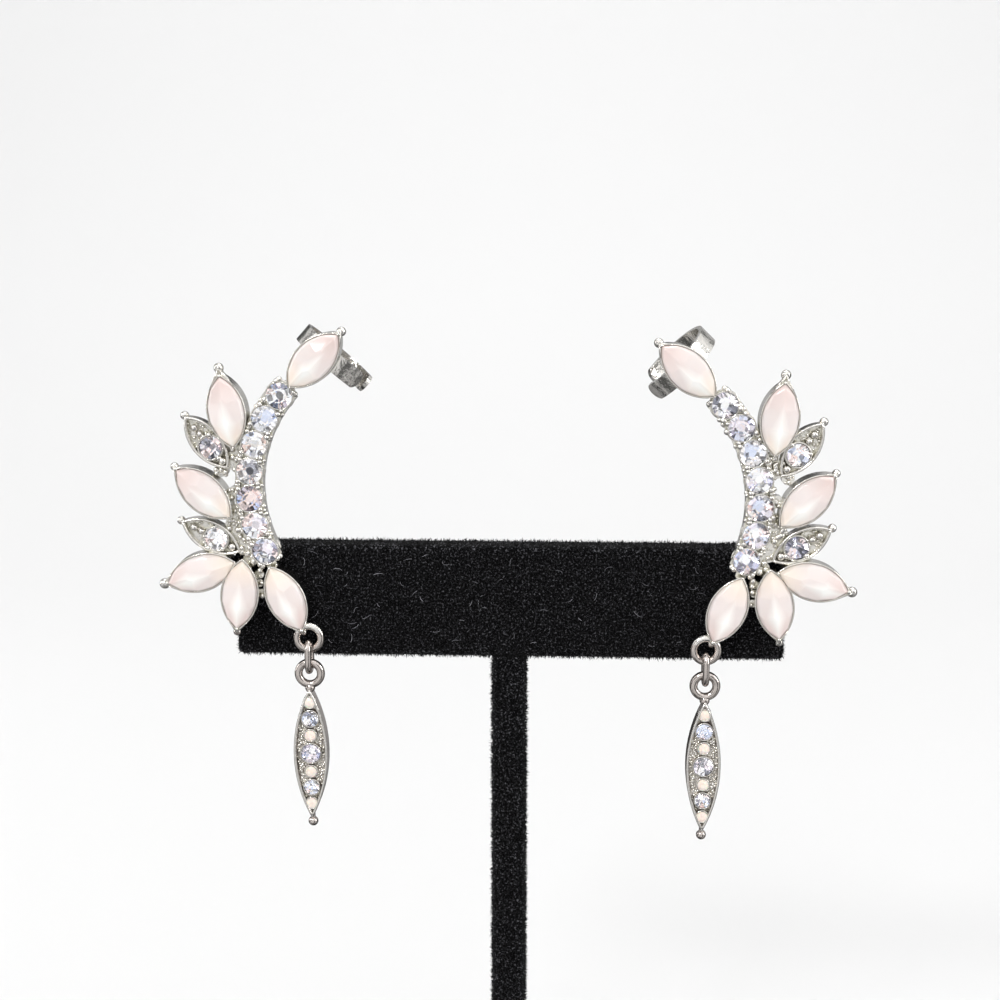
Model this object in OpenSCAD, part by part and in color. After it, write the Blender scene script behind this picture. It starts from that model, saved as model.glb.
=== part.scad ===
// Pair of ear climbers with hanging drops, kept on a velvet T-bar stand.
// Each climber is one cast and soldered metal frame set with stones. It is laid out
// flat, its back on z = 0 and its spine's arc round the origin, and is then stood up
// against the bar. The second climber is the mirror image of the first.
// The whole stands on z = 0, with its front towards -Y.

/* [Stand] */
// Height of the stand, from the table to the top of the bar
stand_h = 108; // [95:1:130]
// Length of the display bar
bar_l = 73.2; // [70:0.2:90]
// Height of the display bar
bar_h = 15.3; // [14.6:0.1:16.5]
// Thickness of the display bar
bar_t = 3.9; // [3:0.1:5]
// Rounding of the bar's long edges
bar_edge_r = 0.9; // [0.4:0.1:1.2]
// Rounding of the bar's corners, seen from the front
bar_corner_r = 0.7; // [0.4:0.1:2]
// Width of the pole
pole_w = 4.4; // [3.5:0.1:6]
// Depth of the pole, front to back
pole_t = 3.8; // [3:0.1:6]
// Rounding of the pole's edges
pole_edge_r = 0.9; // [0.4:0.1:1.4]
// Width of the base plate
base_w = 56; // [50:1:80]
// Depth of the base plate
base_d = 40; // [34:1:60]
// Thickness of the base plate
base_t = 6; // [4:0.5:10]
// Rounding of the base plate's corners
base_corner_r = 4; // [2:0.5:10]
// Seam between one covered part of the stand and the next
seam = 0.05; // [0.02:0.01:0.2]

/* [Placing on the bar] */
// Distance of the left post from the middle of the bar
post_x_left = 29.5; // [28:0.1:32]
// Distance of the right post from the middle of the bar
post_x_right = 28.8; // [28:0.1:32]
// Distance of the left post below the top of the bar
post_drop_left = 6.85; // [6:0.1:8]
// Distance of the right post below the top of the bar
post_drop_right = 7.75; // [6:0.1:8]
// Turn of both climbers in the plane of the bar, in degrees
climber_turn = 1.3; // [-2:0.1:3]
// Gap between the bar and the climbers' backs
climber_gap = 0.4; // [0.2:0.05:0.8]

/* [Spine] */
// Radius of the arc that the spine's crystals follow
spine_r = 19.3; // [18.5:0.1:21]
// Direction of the first crystal, seen from the arc's centre, in degrees
spine_start = 139.5; // [136:0.5:143]
// Diameter of a spine crystal
crystal_d = 3.4; // [3.1:0.05:3.5]
// Metal between one spine crystal and the next
crystal_space = 0.25; // [0.2:0.05:0.5]
// Metal round a spine crystal
seat_wall = 0.2; // [0.15:0.05:0.3]
// Height of the seats above the back
spine_h = 1.9; // [1.7:0.05:2.1]
// Depth of a seat
seat_depth = 1.2; // [0.9:0.05:1.4]
// Width of the web that joins the seats
band_w = 3.7; // [3.4:0.05:3.8]
// Diameter of a prong bead
prong_d = 0.75; // [0.5:0.05:0.85]

/* [Long stones] */
// Length of a long stone
opal_l = 9.3; // [8.8:0.1:9.6]
// Width of a long stone
opal_w = 4.7; // [4.3:0.1:4.9]
// Height of a long stone above its cup
opal_rise = 1.15; // [0.7:0.05:1.6]
// Wall of a cup
cup_wall = 0.18; // [0.16:0.02:0.32]
// Height of a cup above the back
cup_h = 2.4; // [2.2:0.1:3]
// Depth of the pocket in a cup
cup_depth = 1.3; // [1:0.05:1.6]
// Diameter of the ball at a cup's tip
ball_d = 1.25; // [0.9:0.05:1.4]
// Play round every stone in its setting
stone_play = 0.05; // [0.03:0.01:0.08]

/* [Leaves] */
// Length of a metal leaf
leaf_l = 8.8; // [8:0.1:9.2]
// Width of a metal leaf
leaf_w = 4.1; // [3.8:0.1:4.3]
// Height of a leaf's rim above the back
leaf_h = 1.7; // [1.5:0.05:1.8]
// Width of a leaf's rim
leaf_rim = 0.35; // [0.25:0.05:0.45]
// Depth of a leaf's floor below its rim
leaf_recess = 0.6; // [0.4:0.05:0.8]
// Diameter of a leaf's crystal
leaf_crystal_d = 3.0; // [2.7:0.05:3.1]
// Distance of the upper leaf's crystal from the leaf's middle, towards the spine
leaf_shift_upper = 0.8; // [0.3:0.1:1.2]
// Distance of the lower leaf's crystal from the leaf's middle, towards the spine
leaf_shift_lower = 0.7; // [0.3:0.1:1.2]
// Metal round a leaf's crystal
leaf_seat_wall = 0.22; // [0.15:0.01:0.3]
// Diameter of the metal grains beside a leaf's crystal
grain_d = 1.1; // [0.8:0.05:1.2]
// Thickness of the webs that join leaves, cups and spine
web_h = 1.25; // [1:0.05:1.4]

/* [Ear cuff] */
// Outer diameter of the cuff
cuff_d = 11.3; // [10.5:0.1:12]
// Width of the cuff's band
cuff_w = 2.5; // [2:0.1:3]
// Thickness of the cuff's band
cuff_t = 0.6; // [0.5:0.05:0.8]
// Depth to which the cuff is soldered into the cup's back
cuff_bite = 0.35; // [0.25:0.05:0.5]
// Distance of the cuff from the top stone's middle, towards its tip
cuff_slide = 0.8; // [0:0.1:1.2]

/* [Post and clutch] */
// Diameter of the ear post
post_d = 0.85; // [0.7:0.05:1]
// Length of the ear post behind the frame
post_l = 11; // [10:0.5:13]
// Play of the post in the bar's hole, on the radius
hole_play = 0.25; // [0.15:0.05:0.4]
// Diameter of the clutch
clutch_d = 4.8; // [4:0.1:6]
// Thickness of the clutch
clutch_t = 2.2; // [1.5:0.1:3]
// Play of the post in the clutch, on the radius
clutch_play = 0.04; // [0.02:0.01:0.08]
// Gap between the bar and the clutch
clutch_gap = 0.1; // [0.05:0.05:0.4]

/* [Ring and link] */
// Outer diameter of the frame's ring
ring_d = 4.2; // [4:0.1:4.5]
// Thickness of the ring's wire
ring_wire = 1.02; // [0.9:0.02:1.1]
// Height of the ring's middle plane above the frame's back
ring_h = 1.8; // [1.7:0.05:1.9]
// Direction in which the ring stands off the inner stone's tip, in degrees
ring_swing = 12; // [6:1:22]
// Thickness of the link's wire
link_wire = 0.9; // [0.8:0.02:0.96]
// Length of the link
link_l = 4.95; // [4.8:0.05:5.8]
// Width of the link
link_w = 3.4; // [3.2:0.05:3.5]
// Play between the link and the rings that it joins
link_play = 0.12; // [0.1:0.01:0.15]

/* [Drop] */
// Outer diameter of the drop's loop
loop_d = 4.1; // [3.9:0.05:4.4]
// Thickness of the loop's wire
loop_wire = 1.08; // [0.96:0.02:1.12]
// Length of the drop's boat-shaped body
drop_l = 18.5; // [18:0.1:20.5]
// Width of the drop's body
drop_w = 4.6; // [4.4:0.1:5]
// Thickness of the drop's body
drop_t = 1.8; // [1.6:0.1:2.4]
// Width of the drop's rim
drop_rim = 0.36; // [0.28:0.02:0.45]
// Depth of the drop's floor below its rim
drop_recess = 0.55; // [0.35:0.05:0.7]
// Depth of a stone's seat below the drop's floor
drop_seat = 0.5; // [0.3:0.05:0.6]
// Diameter of the small opals in the drop
bead_opal_d = 1.5; // [1.3:0.05:1.6]
// Diameter of the drop's upper crystal
drop_crystal_top_d = 2.15; // [1.9:0.05:2.25]
// Diameter of the drop's middle crystal
drop_crystal_mid_d = 2.6; // [2.2:0.05:2.7]
// Diameter of the drop's lower crystal
drop_crystal_low_d = 2.05; // [1.8:0.05:2.15]
// Space between the stones in the drop
drop_space = 0.5; // [0.36:0.02:0.54]
// Diameter of the bead between the loop and the body
neck_d = 1.35; // [1.2:0.05:1.6]
// Diameter of the ball at the drop's lower end
drop_ball_d = 1.35; // [1.1:0.05:1.6]

/* [Left cuff] */
// Turn of the left cuff in the plane of its stone, in degrees
cuff_turn_left = 3.5; // [-5:0.5:6]
// Lean of the left cuff, its outer side back, in degrees
cuff_lean_left = 5.5; // [-6:0.5:6]
// Distance of the left cuff from its stone's middle, down the ear
cuff_shift_left = 1.6; // [0:0.1:2.2]
// Turn of the left cuff's front end back from its lowest line, in degrees
cuff_front_left = 36; // [20:1:60]
// Turn of the left cuff's rear end back from its lowest line, in degrees
cuff_rear_left = 14; // [10:1:60]

/* [Right cuff] */
// Turn of the right cuff in the plane of its stone, in degrees
cuff_turn_right = 1.5; // [-5:0.5:6]
// Lean of the right cuff, its outer side back, in degrees
cuff_lean_right = -4.5; // [-6:0.5:6]
// Distance of the right cuff from its stone's middle, down the ear
cuff_shift_right = 0.45; // [0:0.1:2.2]
// Turn of the right cuff's front end back from its lowest line, in degrees
cuff_front_right = 28; // [20:1:60]
// Turn of the right cuff's rear end back from its lowest line, in degrees
cuff_rear_right = 44; // [10:1:60]

/* [Hidden] */
$fn = 48;

// The two climbers: name, mirrored (0 or 1)
SIDES = [
  ["left", 0],
  ["right", 1]
];

// Long stones: name, seat on the spine where the inner tip lies (in crystals, from
// the first), reach of that tip off the spine (share of a crystal), turn from
// straight out (degrees), tip ball's size (share of ball_d), its reach (same share)
OPALS = [
  ["top", -0.53, -0.04, -89.6, 1.00, 0.42],
  ["upper", 2.26, 0.74, -66.4, 1.05, 0.88],
  ["middle", 4.52, 0.83, -52.3, 0.88, 0.38],
  ["outer", 5.90, 1.30, -6.9, 1.12, 0.50],
  ["lower", 5.96, 0.96, 58.3, 0.90, 0.45],
  ["inner", 6.61, 0.14, 82.5, 0.72, 0.40]
];

// Metal leaves: name, seat, reach of the inner tip (share of a crystal), turn, shift
// of the crystal
LEAVES = [
  ["upper", 3.00, 0.82, -44.3, leaf_shift_upper],
  ["lower", 5.70, 0.90, -50.0, leaf_shift_lower]
];

// Webs that fill the corners: seat, reach, diameter (shares of a crystal)
WEBS = [
  [2.40, 0.64, 0.50],
  [2.75, 0.69, 0.74],
  [3.10, 1.10, 0.50],
  [3.80, 0.63, 0.50],
  [4.45, 0.62, 0.58],
  [4.80, 0.84, 0.64],
  [5.14, 0.78, 0.56],
  [5.50, 0.66, 0.76],
  [6.02, 0.71, 0.54],
  [6.56, 0.10, 0.42],
  [6.62, 0.72, 0.34],
  [6.86, 0.92, 0.30],
  [7.14, 1.10, 0.30]
];

// Numbers of the spine's seats, from the top
seats = [0:6];
top_opal = OPALS[0];
inner_opal = OPALS[5];

// How far the post reaches into the cup's floor
post_foot = 0.5;
// Distance of a prong bead from the spine's line (share of a crystal), and its sink
prong_reach = 0.41;
prong_sink = 0.17;
// Height of the band between the seats (share of a seat's height), and how far it
// runs past the middles of the first and last crystals (in crystals)
band_rise = 0.86;
band_over = 0.35;
// Top of a crystal's collar below the rim that stands round it
collar_step = 0.05;
drop_collar_step = 0.1;
// Width of a collar in the drop (share of the space between its stones)
drop_collar = 0.375;
// Thickness of the stem under a cup's tip ball (share of ball_d)
tip_stem = 0.6;
// Tip ball of a leaf: size, reach past the tip and depth below the rim (shares of ball_d)
leaf_ball = [0.92, 0.1, 0.45];
// Grain of a leaf: distance off the crystal's edge and rise over the floor (shares of
// grain_d)
leaf_grain = [0.75, 0.1];
// Distance of the frame ring's wire from the inner stone's tip
ring_off = -0.1;
// Radius of the cuff's round ends (share of its width), and how much of its opening
// each of the two cuts takes, a little over half
cuff_end = 0.55;
cuff_cut = 0.55;
// Bead over the drop's body: how far the tip reaches into it, and how far its middle
// lies below the tip (shares of neck_d)
neck_in = -0.15;
neck_sink = 0.12;
// Ball under the drop: its middle below the body's tip (share of drop_ball_d), and the
// diameter of its stem
drop_ball_off = 0.5;
drop_stem_d = 0.6;
// How far the drop's row of stones stands above the middle of its body
row_lift = 0.1;
// Height of the upright girdle of a small stone in the drop
drop_girdle = 0.25;
// Steps round a large arc
arc_steps = 120;

// Rings of corners of the cut stones, from the foot up. Long stone: share of its
// outline, height (share of the pocket's depth, then share of the stone's rise)
OPAL_CUT = [
  [0.92, 0.00, 0.00],
  [1.00, 0.60, 0.00],
  [1.00, 0.98, 0.00],
  [0.76, 1.00, 0.72],
  [0.42, 1.00, 1.00]
];
// Round crystal: share of its outline, height (share of its depth below the rim, then
// share of its diameter over it)
CRYSTAL_CUT = [
  [0.45, 0.00, 0.00],
  [1.00, 1.00, -0.03],
  [1.00, 1.00, 0.02],
  [0.78, 1.00, 0.15],
  [0.50, 1.00, 0.22]
];
// Seats at which the prong beads stand, two by two, between crystals and at the ends
prong_seats = [-0.44, 0.5, 1.5, 2.5, 3.5, 4.5, 5.5, 6.44];

pitch = crystal_d + crystal_space;
pitch_turn = 2 * asin(pitch / 2 / spine_r);
ring_r = (ring_d - ring_wire) / 2;
loop_r = (loop_d - loop_wire) / 2;
loop_hole_r = loop_r - loop_wire / 2;
link_bend_r = (link_w - link_wire) / 2;
link_straight = link_l - link_w;
cuff_r = cuff_d / 2;
opal_floor = cup_h - cup_depth;
drop_floor = drop_t - drop_recess;

// Places on a drop, down from the middle of its loop
body_top = -loop_d / 2 - neck_in * neck_d;
body_mid = body_top - drop_l / 2;
ball_mid = body_top - drop_l - drop_ball_off * drop_ball_d;

// Height of the link's pivot above the drop's loop, and of the ring's above the link's
loop_hang = loop_hole_r - link_play - link_wire / 2;
link_hang = link_l - link_wire - link_play - (ring_wire + link_wire) / 2;

function polar(r, a) = [r * cos(a), r * sin(a)];
function seat_turn(s) = spine_start + s * pitch_turn;
function on_spine(s, reach = 0) = polar(spine_r + reach * crystal_d, seat_turn(s));
function leaf_turn(p) = seat_turn(p[1]) + p[3];
function along(p, d) = on_spine(p[1], p[2]) + polar(d, leaf_turn(p));

// Places on a climber: its post, and the middle of its ring
post_at = along(inner_opal, opal_l / 2);
ring_at = along(inner_opal, opal_l)
  + polar(ring_r + ring_off, leaf_turn(inner_opal) + ring_swing);

// Places on the bar, for side 0 (left) or 1 (right)
function post_x(s) = s == 0 ? -post_x_left : post_x_right;
function post_z(s) = stand_h - (s == 0 ? post_drop_left : post_drop_right);
function back_y() = -bar_t / 2 - climber_gap;
function unhung(s, p) = [(s == 0 ? 1 : -1) * (p.x - post_at.x), p.y - post_at.y];
function turned(p, a) = [p.x * cos(a) - p.y * sin(a), p.x * sin(a) + p.y * cos(a)];
function hung(s, p) = [post_x(s), post_z(s)] + turned(unhung(s, p), climber_turn);
function ring_mid(s) = let (p = hung(s, ring_at)) [p.x, back_y() - ring_h, p.y];
function link_pivot(s) = ring_mid(s) - [0, 0, ring_r];
function drop_pivot(s) = link_pivot(s) - [0, 0, link_hang];

// Stones of the drop from top to bottom: diameter, clear (1) or opal (0), rise of the
// cut over the rim (share of the diameter)
DROP_STONES = [
  [bead_opal_d, 0, 0.16],
  [drop_crystal_top_d, 1, 0.24],
  [bead_opal_d, 0, 0.16],
  [drop_crystal_mid_d, 1, 0.24],
  [bead_opal_d, 0, 0.16],
  [drop_crystal_low_d, 1, 0.24],
  [bead_opal_d, 0, 0.16]
];
function sum_to(k) = k < 0 ? 0 : DROP_STONES[k][0] + drop_space + sum_to(k - 1);
row_l = sum_to(len(DROP_STONES) - 1) - drop_space;
function stone_down(k) = sum_to(k - 1) + DROP_STONES[k][0] / 2 - row_l / 2 - row_lift;

// Pointed oval outline of a stone or leaf, as a prism: two arcs that meet in tips
module pointed_oval(l, w, h, grow = 0) {
  arc_r = (l * l + w * w) / (4 * w);
  intersection() {
    translate([0, arc_r - w / 2, 0]) cylinder(r = arc_r + grow, h = h, $fn = arc_steps);
    translate([0, w / 2 - arc_r, 0]) cylinder(r = arc_r + grow, h = h, $fn = arc_steps);
  }
}

// Points of such an outline, anticlockwise from the tip at +x. Equal l and w give a circle.
function oval_ring(l, w, n, share, z) =
  let (arc_r = (l * l + w * w) / (4 * w), half = asin(l / 2 / arc_r))
  [for (k = [0:n - 1])
    let (side = k < n / 2 ? 1 : -1, t = (k % (n / 2)) * 4 * half / n - half)
    [-side * share * arc_r * sin(t), side * share * (arc_r * cos(t) - arc_r + w / 2), z]];

// Cut stone: one ring of corners for each [share, height] row, the last one its table
module cut_stone(l, w, n, rows) {
  last = len(rows) - 1;
  polyhedron(
    points = [for (r = rows) each oval_ring(l, w, n, r[0], r[1])],
    faces = concat(
      [[for (k = [0:n - 1]) k]],
      [for (i = [0:last - 1], k = [0:n - 1])
        [i * n + k, (i + 1) * n + k, (i + 1) * n + (k + 1) % n, i * n + (k + 1) % n]],
      [[for (k = [n - 1:-1:0]) last * n + k]]
    )
  );
}

// Round crystal with its girdle just under girdle_z and its foot on floor_z
module round_crystal(d, floor_z, girdle_z) {
  cut_stone(d, d, 16, [for (r = CRYSTAL_CUT)
    [r[0], floor_z + r[1] * (girdle_z - floor_z) + r[2] * d]]);
}

// Flat oval wire ring in the XY plane, its ends round
module link_ring(wire, bend_r, straight) {
  for (end = [0, 180]) {
    rotate([0, 0, end]) translate([0, straight / 2, 0])
      rotate_extrude(angle = 180) translate([bend_r, 0]) circle(d = wire);
    rotate([0, 0, end]) translate([bend_r, straight / 2, 0])
      rotate([90, 0, 0]) cylinder(d = wire, h = straight);
  }
}

module wire_ring(r, wire) {
  rotate_extrude() translate([r, 0]) circle(d = wire);
}

// Stands a flat climber up on its post, in front of the bar
module on_bar(s) {
  translate([post_x(s), back_y(), post_z(s)]) rotate([90, 0, 0]) rotate([0, 0, climber_turn])
    mirror([s, 0, 0]) translate([-post_at.x, -post_at.y, 0]) children();
}

// Puts a child with its length along x, its middle at the origin, on a leaf or stone row
module on_row(p, l) {
  mid = along(p, l / 2);
  translate([mid.x, mid.y, 0]) rotate([0, 0, leaf_turn(p)]) children();
}

module at_seat(s, reach, z) {
  p = on_spine(s, reach);
  translate([p.x, p.y, z]) children();
}

module cup(p) {
  on_row(p, opal_l) {
    pointed_oval(opal_l, opal_w, cup_h, stone_play + cup_wall);
    translate([opal_l / 2 + p[5] * ball_d, 0, cup_h - ball_d / 2]) {
      sphere(d = p[4] * ball_d);
      rotate([0, -90, 0]) cylinder(d = tip_stem * ball_d, h = p[5] * ball_d);
    }
  }
}

module leaf(p) {
  on_row(p, leaf_l) {
    difference() {
      pointed_oval(leaf_l, leaf_w, leaf_h);
      translate([0, 0, leaf_h - leaf_recess]) pointed_oval(leaf_l, leaf_w, leaf_h, -leaf_rim);
    }
    translate([-p[4], 0, 0])
      cylinder(d = leaf_crystal_d + 2 * (stone_play + leaf_seat_wall), h = leaf_h - collar_step);
    for (way = [-1, 1])
      translate([
        way * (leaf_crystal_d / 2 + leaf_grain[0] * grain_d) - p[4],
        0,
        leaf_h - leaf_recess + leaf_grain[1] * grain_d
      ]) sphere(d = grain_d);
    translate([leaf_l / 2 + leaf_ball[1] * ball_d, 0, leaf_h - leaf_ball[2] * ball_d])
      sphere(d = leaf_ball[0] * ball_d);
  }
}

module spine() {
  for (k = seats) at_seat(k, 0, 0) cylinder(d = crystal_d + 2 * seat_wall, h = spine_h);
  rotate([0, 0, seat_turn(-band_over)])
    rotate_extrude(angle = (len([for (k = seats) k]) - 1 + 2 * band_over) * pitch_turn)
    translate([spine_r - band_w / 2, 0]) square([band_w, band_rise * spine_h]);
  for (k = prong_seats, way = [-1, 1])
    at_seat(k, way * prong_reach, spine_h - prong_sink) sphere(d = prong_d);
}

module webs() {
  for (w = WEBS) at_seat(w[0], w[1], 0) cylinder(d = w[2] * crystal_d, h = web_h);
}

// Open band behind the top stone. Each half of its opening is cut to a round end.
module cuff(turn, lean, shift, front_end, rear_end) {
  end_r = cuff_end * cuff_w;
  end_turn = asin(end_r / cuff_r);
  front = front_end + end_turn;
  rear = rear_end + end_turn;
  half = cuff_cut * (front + rear);
  on_row(top_opal, opal_l) translate([cuff_slide, -shift, cuff_bite - cuff_r])
    rotate([0, lean, turn]) rotate([0, 90, 0]) difference() {
      translate([0, 0, -cuff_w / 2]) cylinder(r = cuff_r, h = cuff_w, $fn = arc_steps);
      translate([0, 0, -cuff_w]) cylinder(r = cuff_r - cuff_t, h = 2 * cuff_w, $fn = arc_steps);
      for (end = [[-front, 0], [rear, half]]) rotate([0, 0, end[0] - 90]) difference() {
        rotate([0, 0, -end[1]]) translate([0, 0, -cuff_w]) rotate_extrude(angle = half)
          translate([cuff_r / 2, 0]) square([cuff_r, 2 * cuff_w]);
        rotate([0, 90, 0]) cylinder(r = end_r, h = 2 * cuff_r);
      }
    }
}

module post() {
  translate([post_at.x, post_at.y, -post_l]) cylinder(d = post_d, h = post_l + post_foot);
}

module frame(s) {
  color("silver") on_bar(s) difference() {
    union() {
      spine();
      webs();
      for (p = OPALS) cup(p);
      for (p = LEAVES) leaf(p);
      translate([ring_at.x, ring_at.y, ring_h]) wire_ring(ring_r, ring_wire);
      post();
      if (s == 0)
        cuff(cuff_turn_left, cuff_lean_left, cuff_shift_left, cuff_front_left, cuff_rear_left);
      else
        cuff(cuff_turn_right, cuff_lean_right, cuff_shift_right, cuff_front_right, cuff_rear_right);
    }
    for (p = OPALS) on_row(p, opal_l)
      translate([0, 0, opal_floor]) pointed_oval(opal_l, opal_w, cup_h, stone_play);
    for (k = seats) at_seat(k, 0, spine_h - seat_depth)
      cylinder(d = crystal_d + 2 * stone_play, h = spine_h);
    for (p = LEAVES) on_row(p, leaf_l)
      translate([-p[4], 0, leaf_h - seat_depth])
      cylinder(d = leaf_crystal_d + 2 * stone_play, h = leaf_h);
  }
}

module opal(s, p) {
  foot = opal_floor + stone_play;
  color("mistyrose") on_bar(s) on_row(p, opal_l) cut_stone(opal_l, opal_w, 16,
    [for (r = OPAL_CUT) [r[0], foot + r[1] * (cup_h - foot) + r[2] * opal_rise]]);
}

module spine_crystal(s, k) {
  color("lavender") on_bar(s) at_seat(k, 0, 0)
    round_crystal(crystal_d, spine_h - seat_depth + stone_play, spine_h);
}

module leaf_crystal(s, p) {
  color("lavender") on_bar(s) on_row(p, leaf_l) translate([-p[4], 0, 0])
    round_crystal(leaf_crystal_d, leaf_h - seat_depth + stone_play, leaf_h);
}

module clutch(s) {
  color("gainsboro") translate([post_x(s), bar_t / 2 + clutch_gap, post_z(s)])
    rotate([-90, 0, 0]) difference() {
      cylinder(d = clutch_d, h = clutch_t);
      translate([0, 0, -clutch_t / 2])
        cylinder(d = post_d + 2 * clutch_play, h = 2 * clutch_t);
    }
}

// Hangs plumb in the frame's ring, edge on to the front
module link(s) {
  middle = drop_pivot(s) + [0, 0, (link_l - link_wire) / 2];
  color("silver") translate(middle) rotate([90, 0, 90])
    link_ring(link_wire, link_bend_r, link_straight);
}

// Lays the drop flat: its back on z = 0, its loop round the origin, its body towards -y
module on_link(s) {
  translate(drop_pivot(s) + [0, drop_t / 2, -loop_hang]) rotate([90, 0, 0]) children();
}

module drop(s) {
  color("silver") on_link(s) difference() {
    union() {
      translate([0, 0, drop_t / 2]) wire_ring(loop_r, loop_wire);
      translate([0, body_top - neck_sink * neck_d, drop_t / 2]) sphere(d = neck_d);
      translate([0, ball_mid, drop_t / 2]) sphere(d = drop_ball_d);
      translate([0, ball_mid, drop_t / 2]) rotate([-90, 0, 0])
        cylinder(d = drop_stem_d, h = (drop_ball_off + 0.5) * drop_ball_d);
      translate([0, body_mid, 0]) difference() {
        rotate([0, 0, 90]) pointed_oval(drop_l, drop_w, drop_t);
        translate([0, 0, drop_floor]) rotate([0, 0, 90])
          pointed_oval(drop_l, drop_w, drop_t, -drop_rim);
      }
      for (k = [0:len(DROP_STONES) - 1])
        translate([0, body_mid - stone_down(k), drop_floor / 2])
        cylinder(
          d = DROP_STONES[k][0] + 2 * drop_collar * drop_space,
          h = drop_t - drop_floor / 2 - drop_collar_step
        );
    }
    for (k = [0:len(DROP_STONES) - 1])
      translate([0, body_mid - stone_down(k), drop_floor - drop_seat])
      cylinder(d = DROP_STONES[k][0] + 2 * stone_play, h = drop_t);
  }
}

// Small stones of the drop: the clear ones are cut higher than the opals
module drop_stones(s, clear) {
  foot = drop_floor - drop_seat + stone_play;
  color(clear == 1 ? "lavender" : "pink") on_link(s)
    for (k = [0:len(DROP_STONES) - 1]) if (DROP_STONES[k][1] == clear)
      translate([0, body_mid - stone_down(k), 0]) {
        d = DROP_STONES[k][0];
        cut_stone(d, d, 12, [
          [0.80, foot],
          [1.00, drop_t - drop_girdle],
          [1.00, drop_t],
          [0.55, drop_t + DROP_STONES[k][2] * d]
        ]);
      }
}

// Corners of a rounded rectangle round the origin, each round corner in equal steps
function rounded(w, h, r, steps = 6) = [
  for (q = [0:3], k = [0:steps])
    let (a = 90 * q + 90 * k / steps)
    [(q == 0 || q == 3 ? 1 : -1) * (w / 2 - r), (q < 2 ? 1 : -1) * (h / 2 - r)] + polar(r, a)
];

// Covered board: rounded from the front by corner_r and across its thickness by edge_r
module board(w, h, t, corner_r, edge_r) {
  intersection() {
    rotate([90, 0, 0]) translate([0, 0, -t / 2])
      linear_extrude(t) polygon(rounded(w, h, corner_r));
    rotate([90, 0, 90]) translate([0, 0, -w / 2])
      linear_extrude(w) polygon(rounded(t, h, edge_r));
  }
}

module display_bar() {
  color("black") difference() {
    translate([0, 0, stand_h - bar_h / 2]) board(bar_l, bar_h, bar_t, bar_corner_r, bar_edge_r);
    for (s = [0, 1]) translate([post_x(s), -bar_t, post_z(s)]) rotate([-90, 0, 0])
      cylinder(d = post_d + 2 * hole_play, h = 2 * bar_t);
  }
}

module display_pole() {
  color("black") translate([0, 0, base_t + seam])
    linear_extrude(stand_h - bar_h - base_t - 2 * seam)
    polygon(rounded(pole_w, pole_t, pole_edge_r));
}

module display_base() {
  color("black") linear_extrude(base_t) polygon(rounded(base_w, base_d, base_corner_r));
}

display_bar();
display_pole();
display_base();
for (side = SIDES) {
  s = side[1];
  frame(s);
  clutch(s);
  link(s);
  drop(s);
  drop_stones(s, 0);
  drop_stones(s, 1);
  for (p = OPALS)
    opal(s, p);
  for (k = seats)
    spine_crystal(s, k);
  for (p = LEAVES)
    leaf_crystal(s, p);
}
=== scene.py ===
import math

import bmesh
import bpy
import numpy as np
from bpy.props import FloatProperty, FloatVectorProperty, IntProperty, PointerProperty
from mathutils import Matrix, Vector


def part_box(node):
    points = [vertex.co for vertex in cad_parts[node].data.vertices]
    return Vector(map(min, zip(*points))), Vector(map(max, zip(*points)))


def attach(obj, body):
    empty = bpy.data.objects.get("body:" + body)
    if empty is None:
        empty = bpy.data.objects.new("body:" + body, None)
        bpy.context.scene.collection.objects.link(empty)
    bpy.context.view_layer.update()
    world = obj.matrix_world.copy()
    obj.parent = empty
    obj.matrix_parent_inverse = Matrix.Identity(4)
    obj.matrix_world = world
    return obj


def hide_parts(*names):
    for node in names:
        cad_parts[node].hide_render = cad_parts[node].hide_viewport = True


bl_info = {
    "name": "Ear climbers on a velvet T-bar",
    "version": (1, 0, 0),
    "blender": (4, 5, 0),
    "location": "View3D > Sidebar > Ear climbers",
    "description": "Builds a pair of stone-set ear climbers with hanging drops on their velvet stand",
    "category": "Object",
}

MM = 0.001
SIDES = ("left", "right")
LONG_STONES = ("top", "upper", "middle", "outer", "lower", "inner")
LEAVES = ("upper", "lower")
SPINE = range(1, 8)
FRONT = Vector((0, -1, 0))
# The frames' backs, and the heights over them of the spine's seats and the leaves' rims
BACK_Y = -2.35 * MM
SPINE_HIGH = 1.9 * MM
LEAF_HIGH = 1.7 * MM
LEAF_LONG = 8.8 * MM
LEAF_WIDE = 4.1 * MM
# Middle of each leaf and the way to its outer tip, x and z in millimetres
LEAF_PLACES = {
    ("left", "upper"): (-39.506, 121.970, -2.772, 3.417),
    ("left", "lower"): (-39.337, 109.406, -3.908, 2.021),
    ("right", "upper"): (37.852, 121.503, 2.614, 3.539),
    ("right", "lower"): (38.253, 108.944, 3.813, 2.196),
}
# Beads in a leaf: distance from its crystal towards the outer tip, and share of a full bead
LEAF_BEADS = ((3.3 * MM, 0.9), (2.2 * MM, 0.8), (-2.35 * MM, 1.0))
# How far a cup's lip lies outside the stone's rim, and its height over the cup's edge
LIP_OUT = 0.13 * MM
LIP_HIGH = -0.04 * MM
# How far the middle of each cup's tip ball lies past the stone's outer tip
BALL_REACH = {
    "top": 0.53 * MM, "upper": 1.1 * MM, "middle": 0.48 * MM, "outer": 0.63 * MM, "lower": 0.56 * MM,
    "inner": 0.5 * MM,
}
# Where the prongs stand round a crystal, measured from the line of the spine
PRONG_TURNS = [math.radians(a) for a in (42, 138, 222, 318)]
# Beads beside the spine's last crystal: how far on along the spine and how far off it
# towards the outer stone, and their diameters, in millimetres
LAST_BEADS = ((0.88, 2.1, 1.1), (2.3, 1.75, 0.9), (-0.4, 2.3, 0.9))
LAST_BEADS_Y = -3.7 * MM
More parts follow.
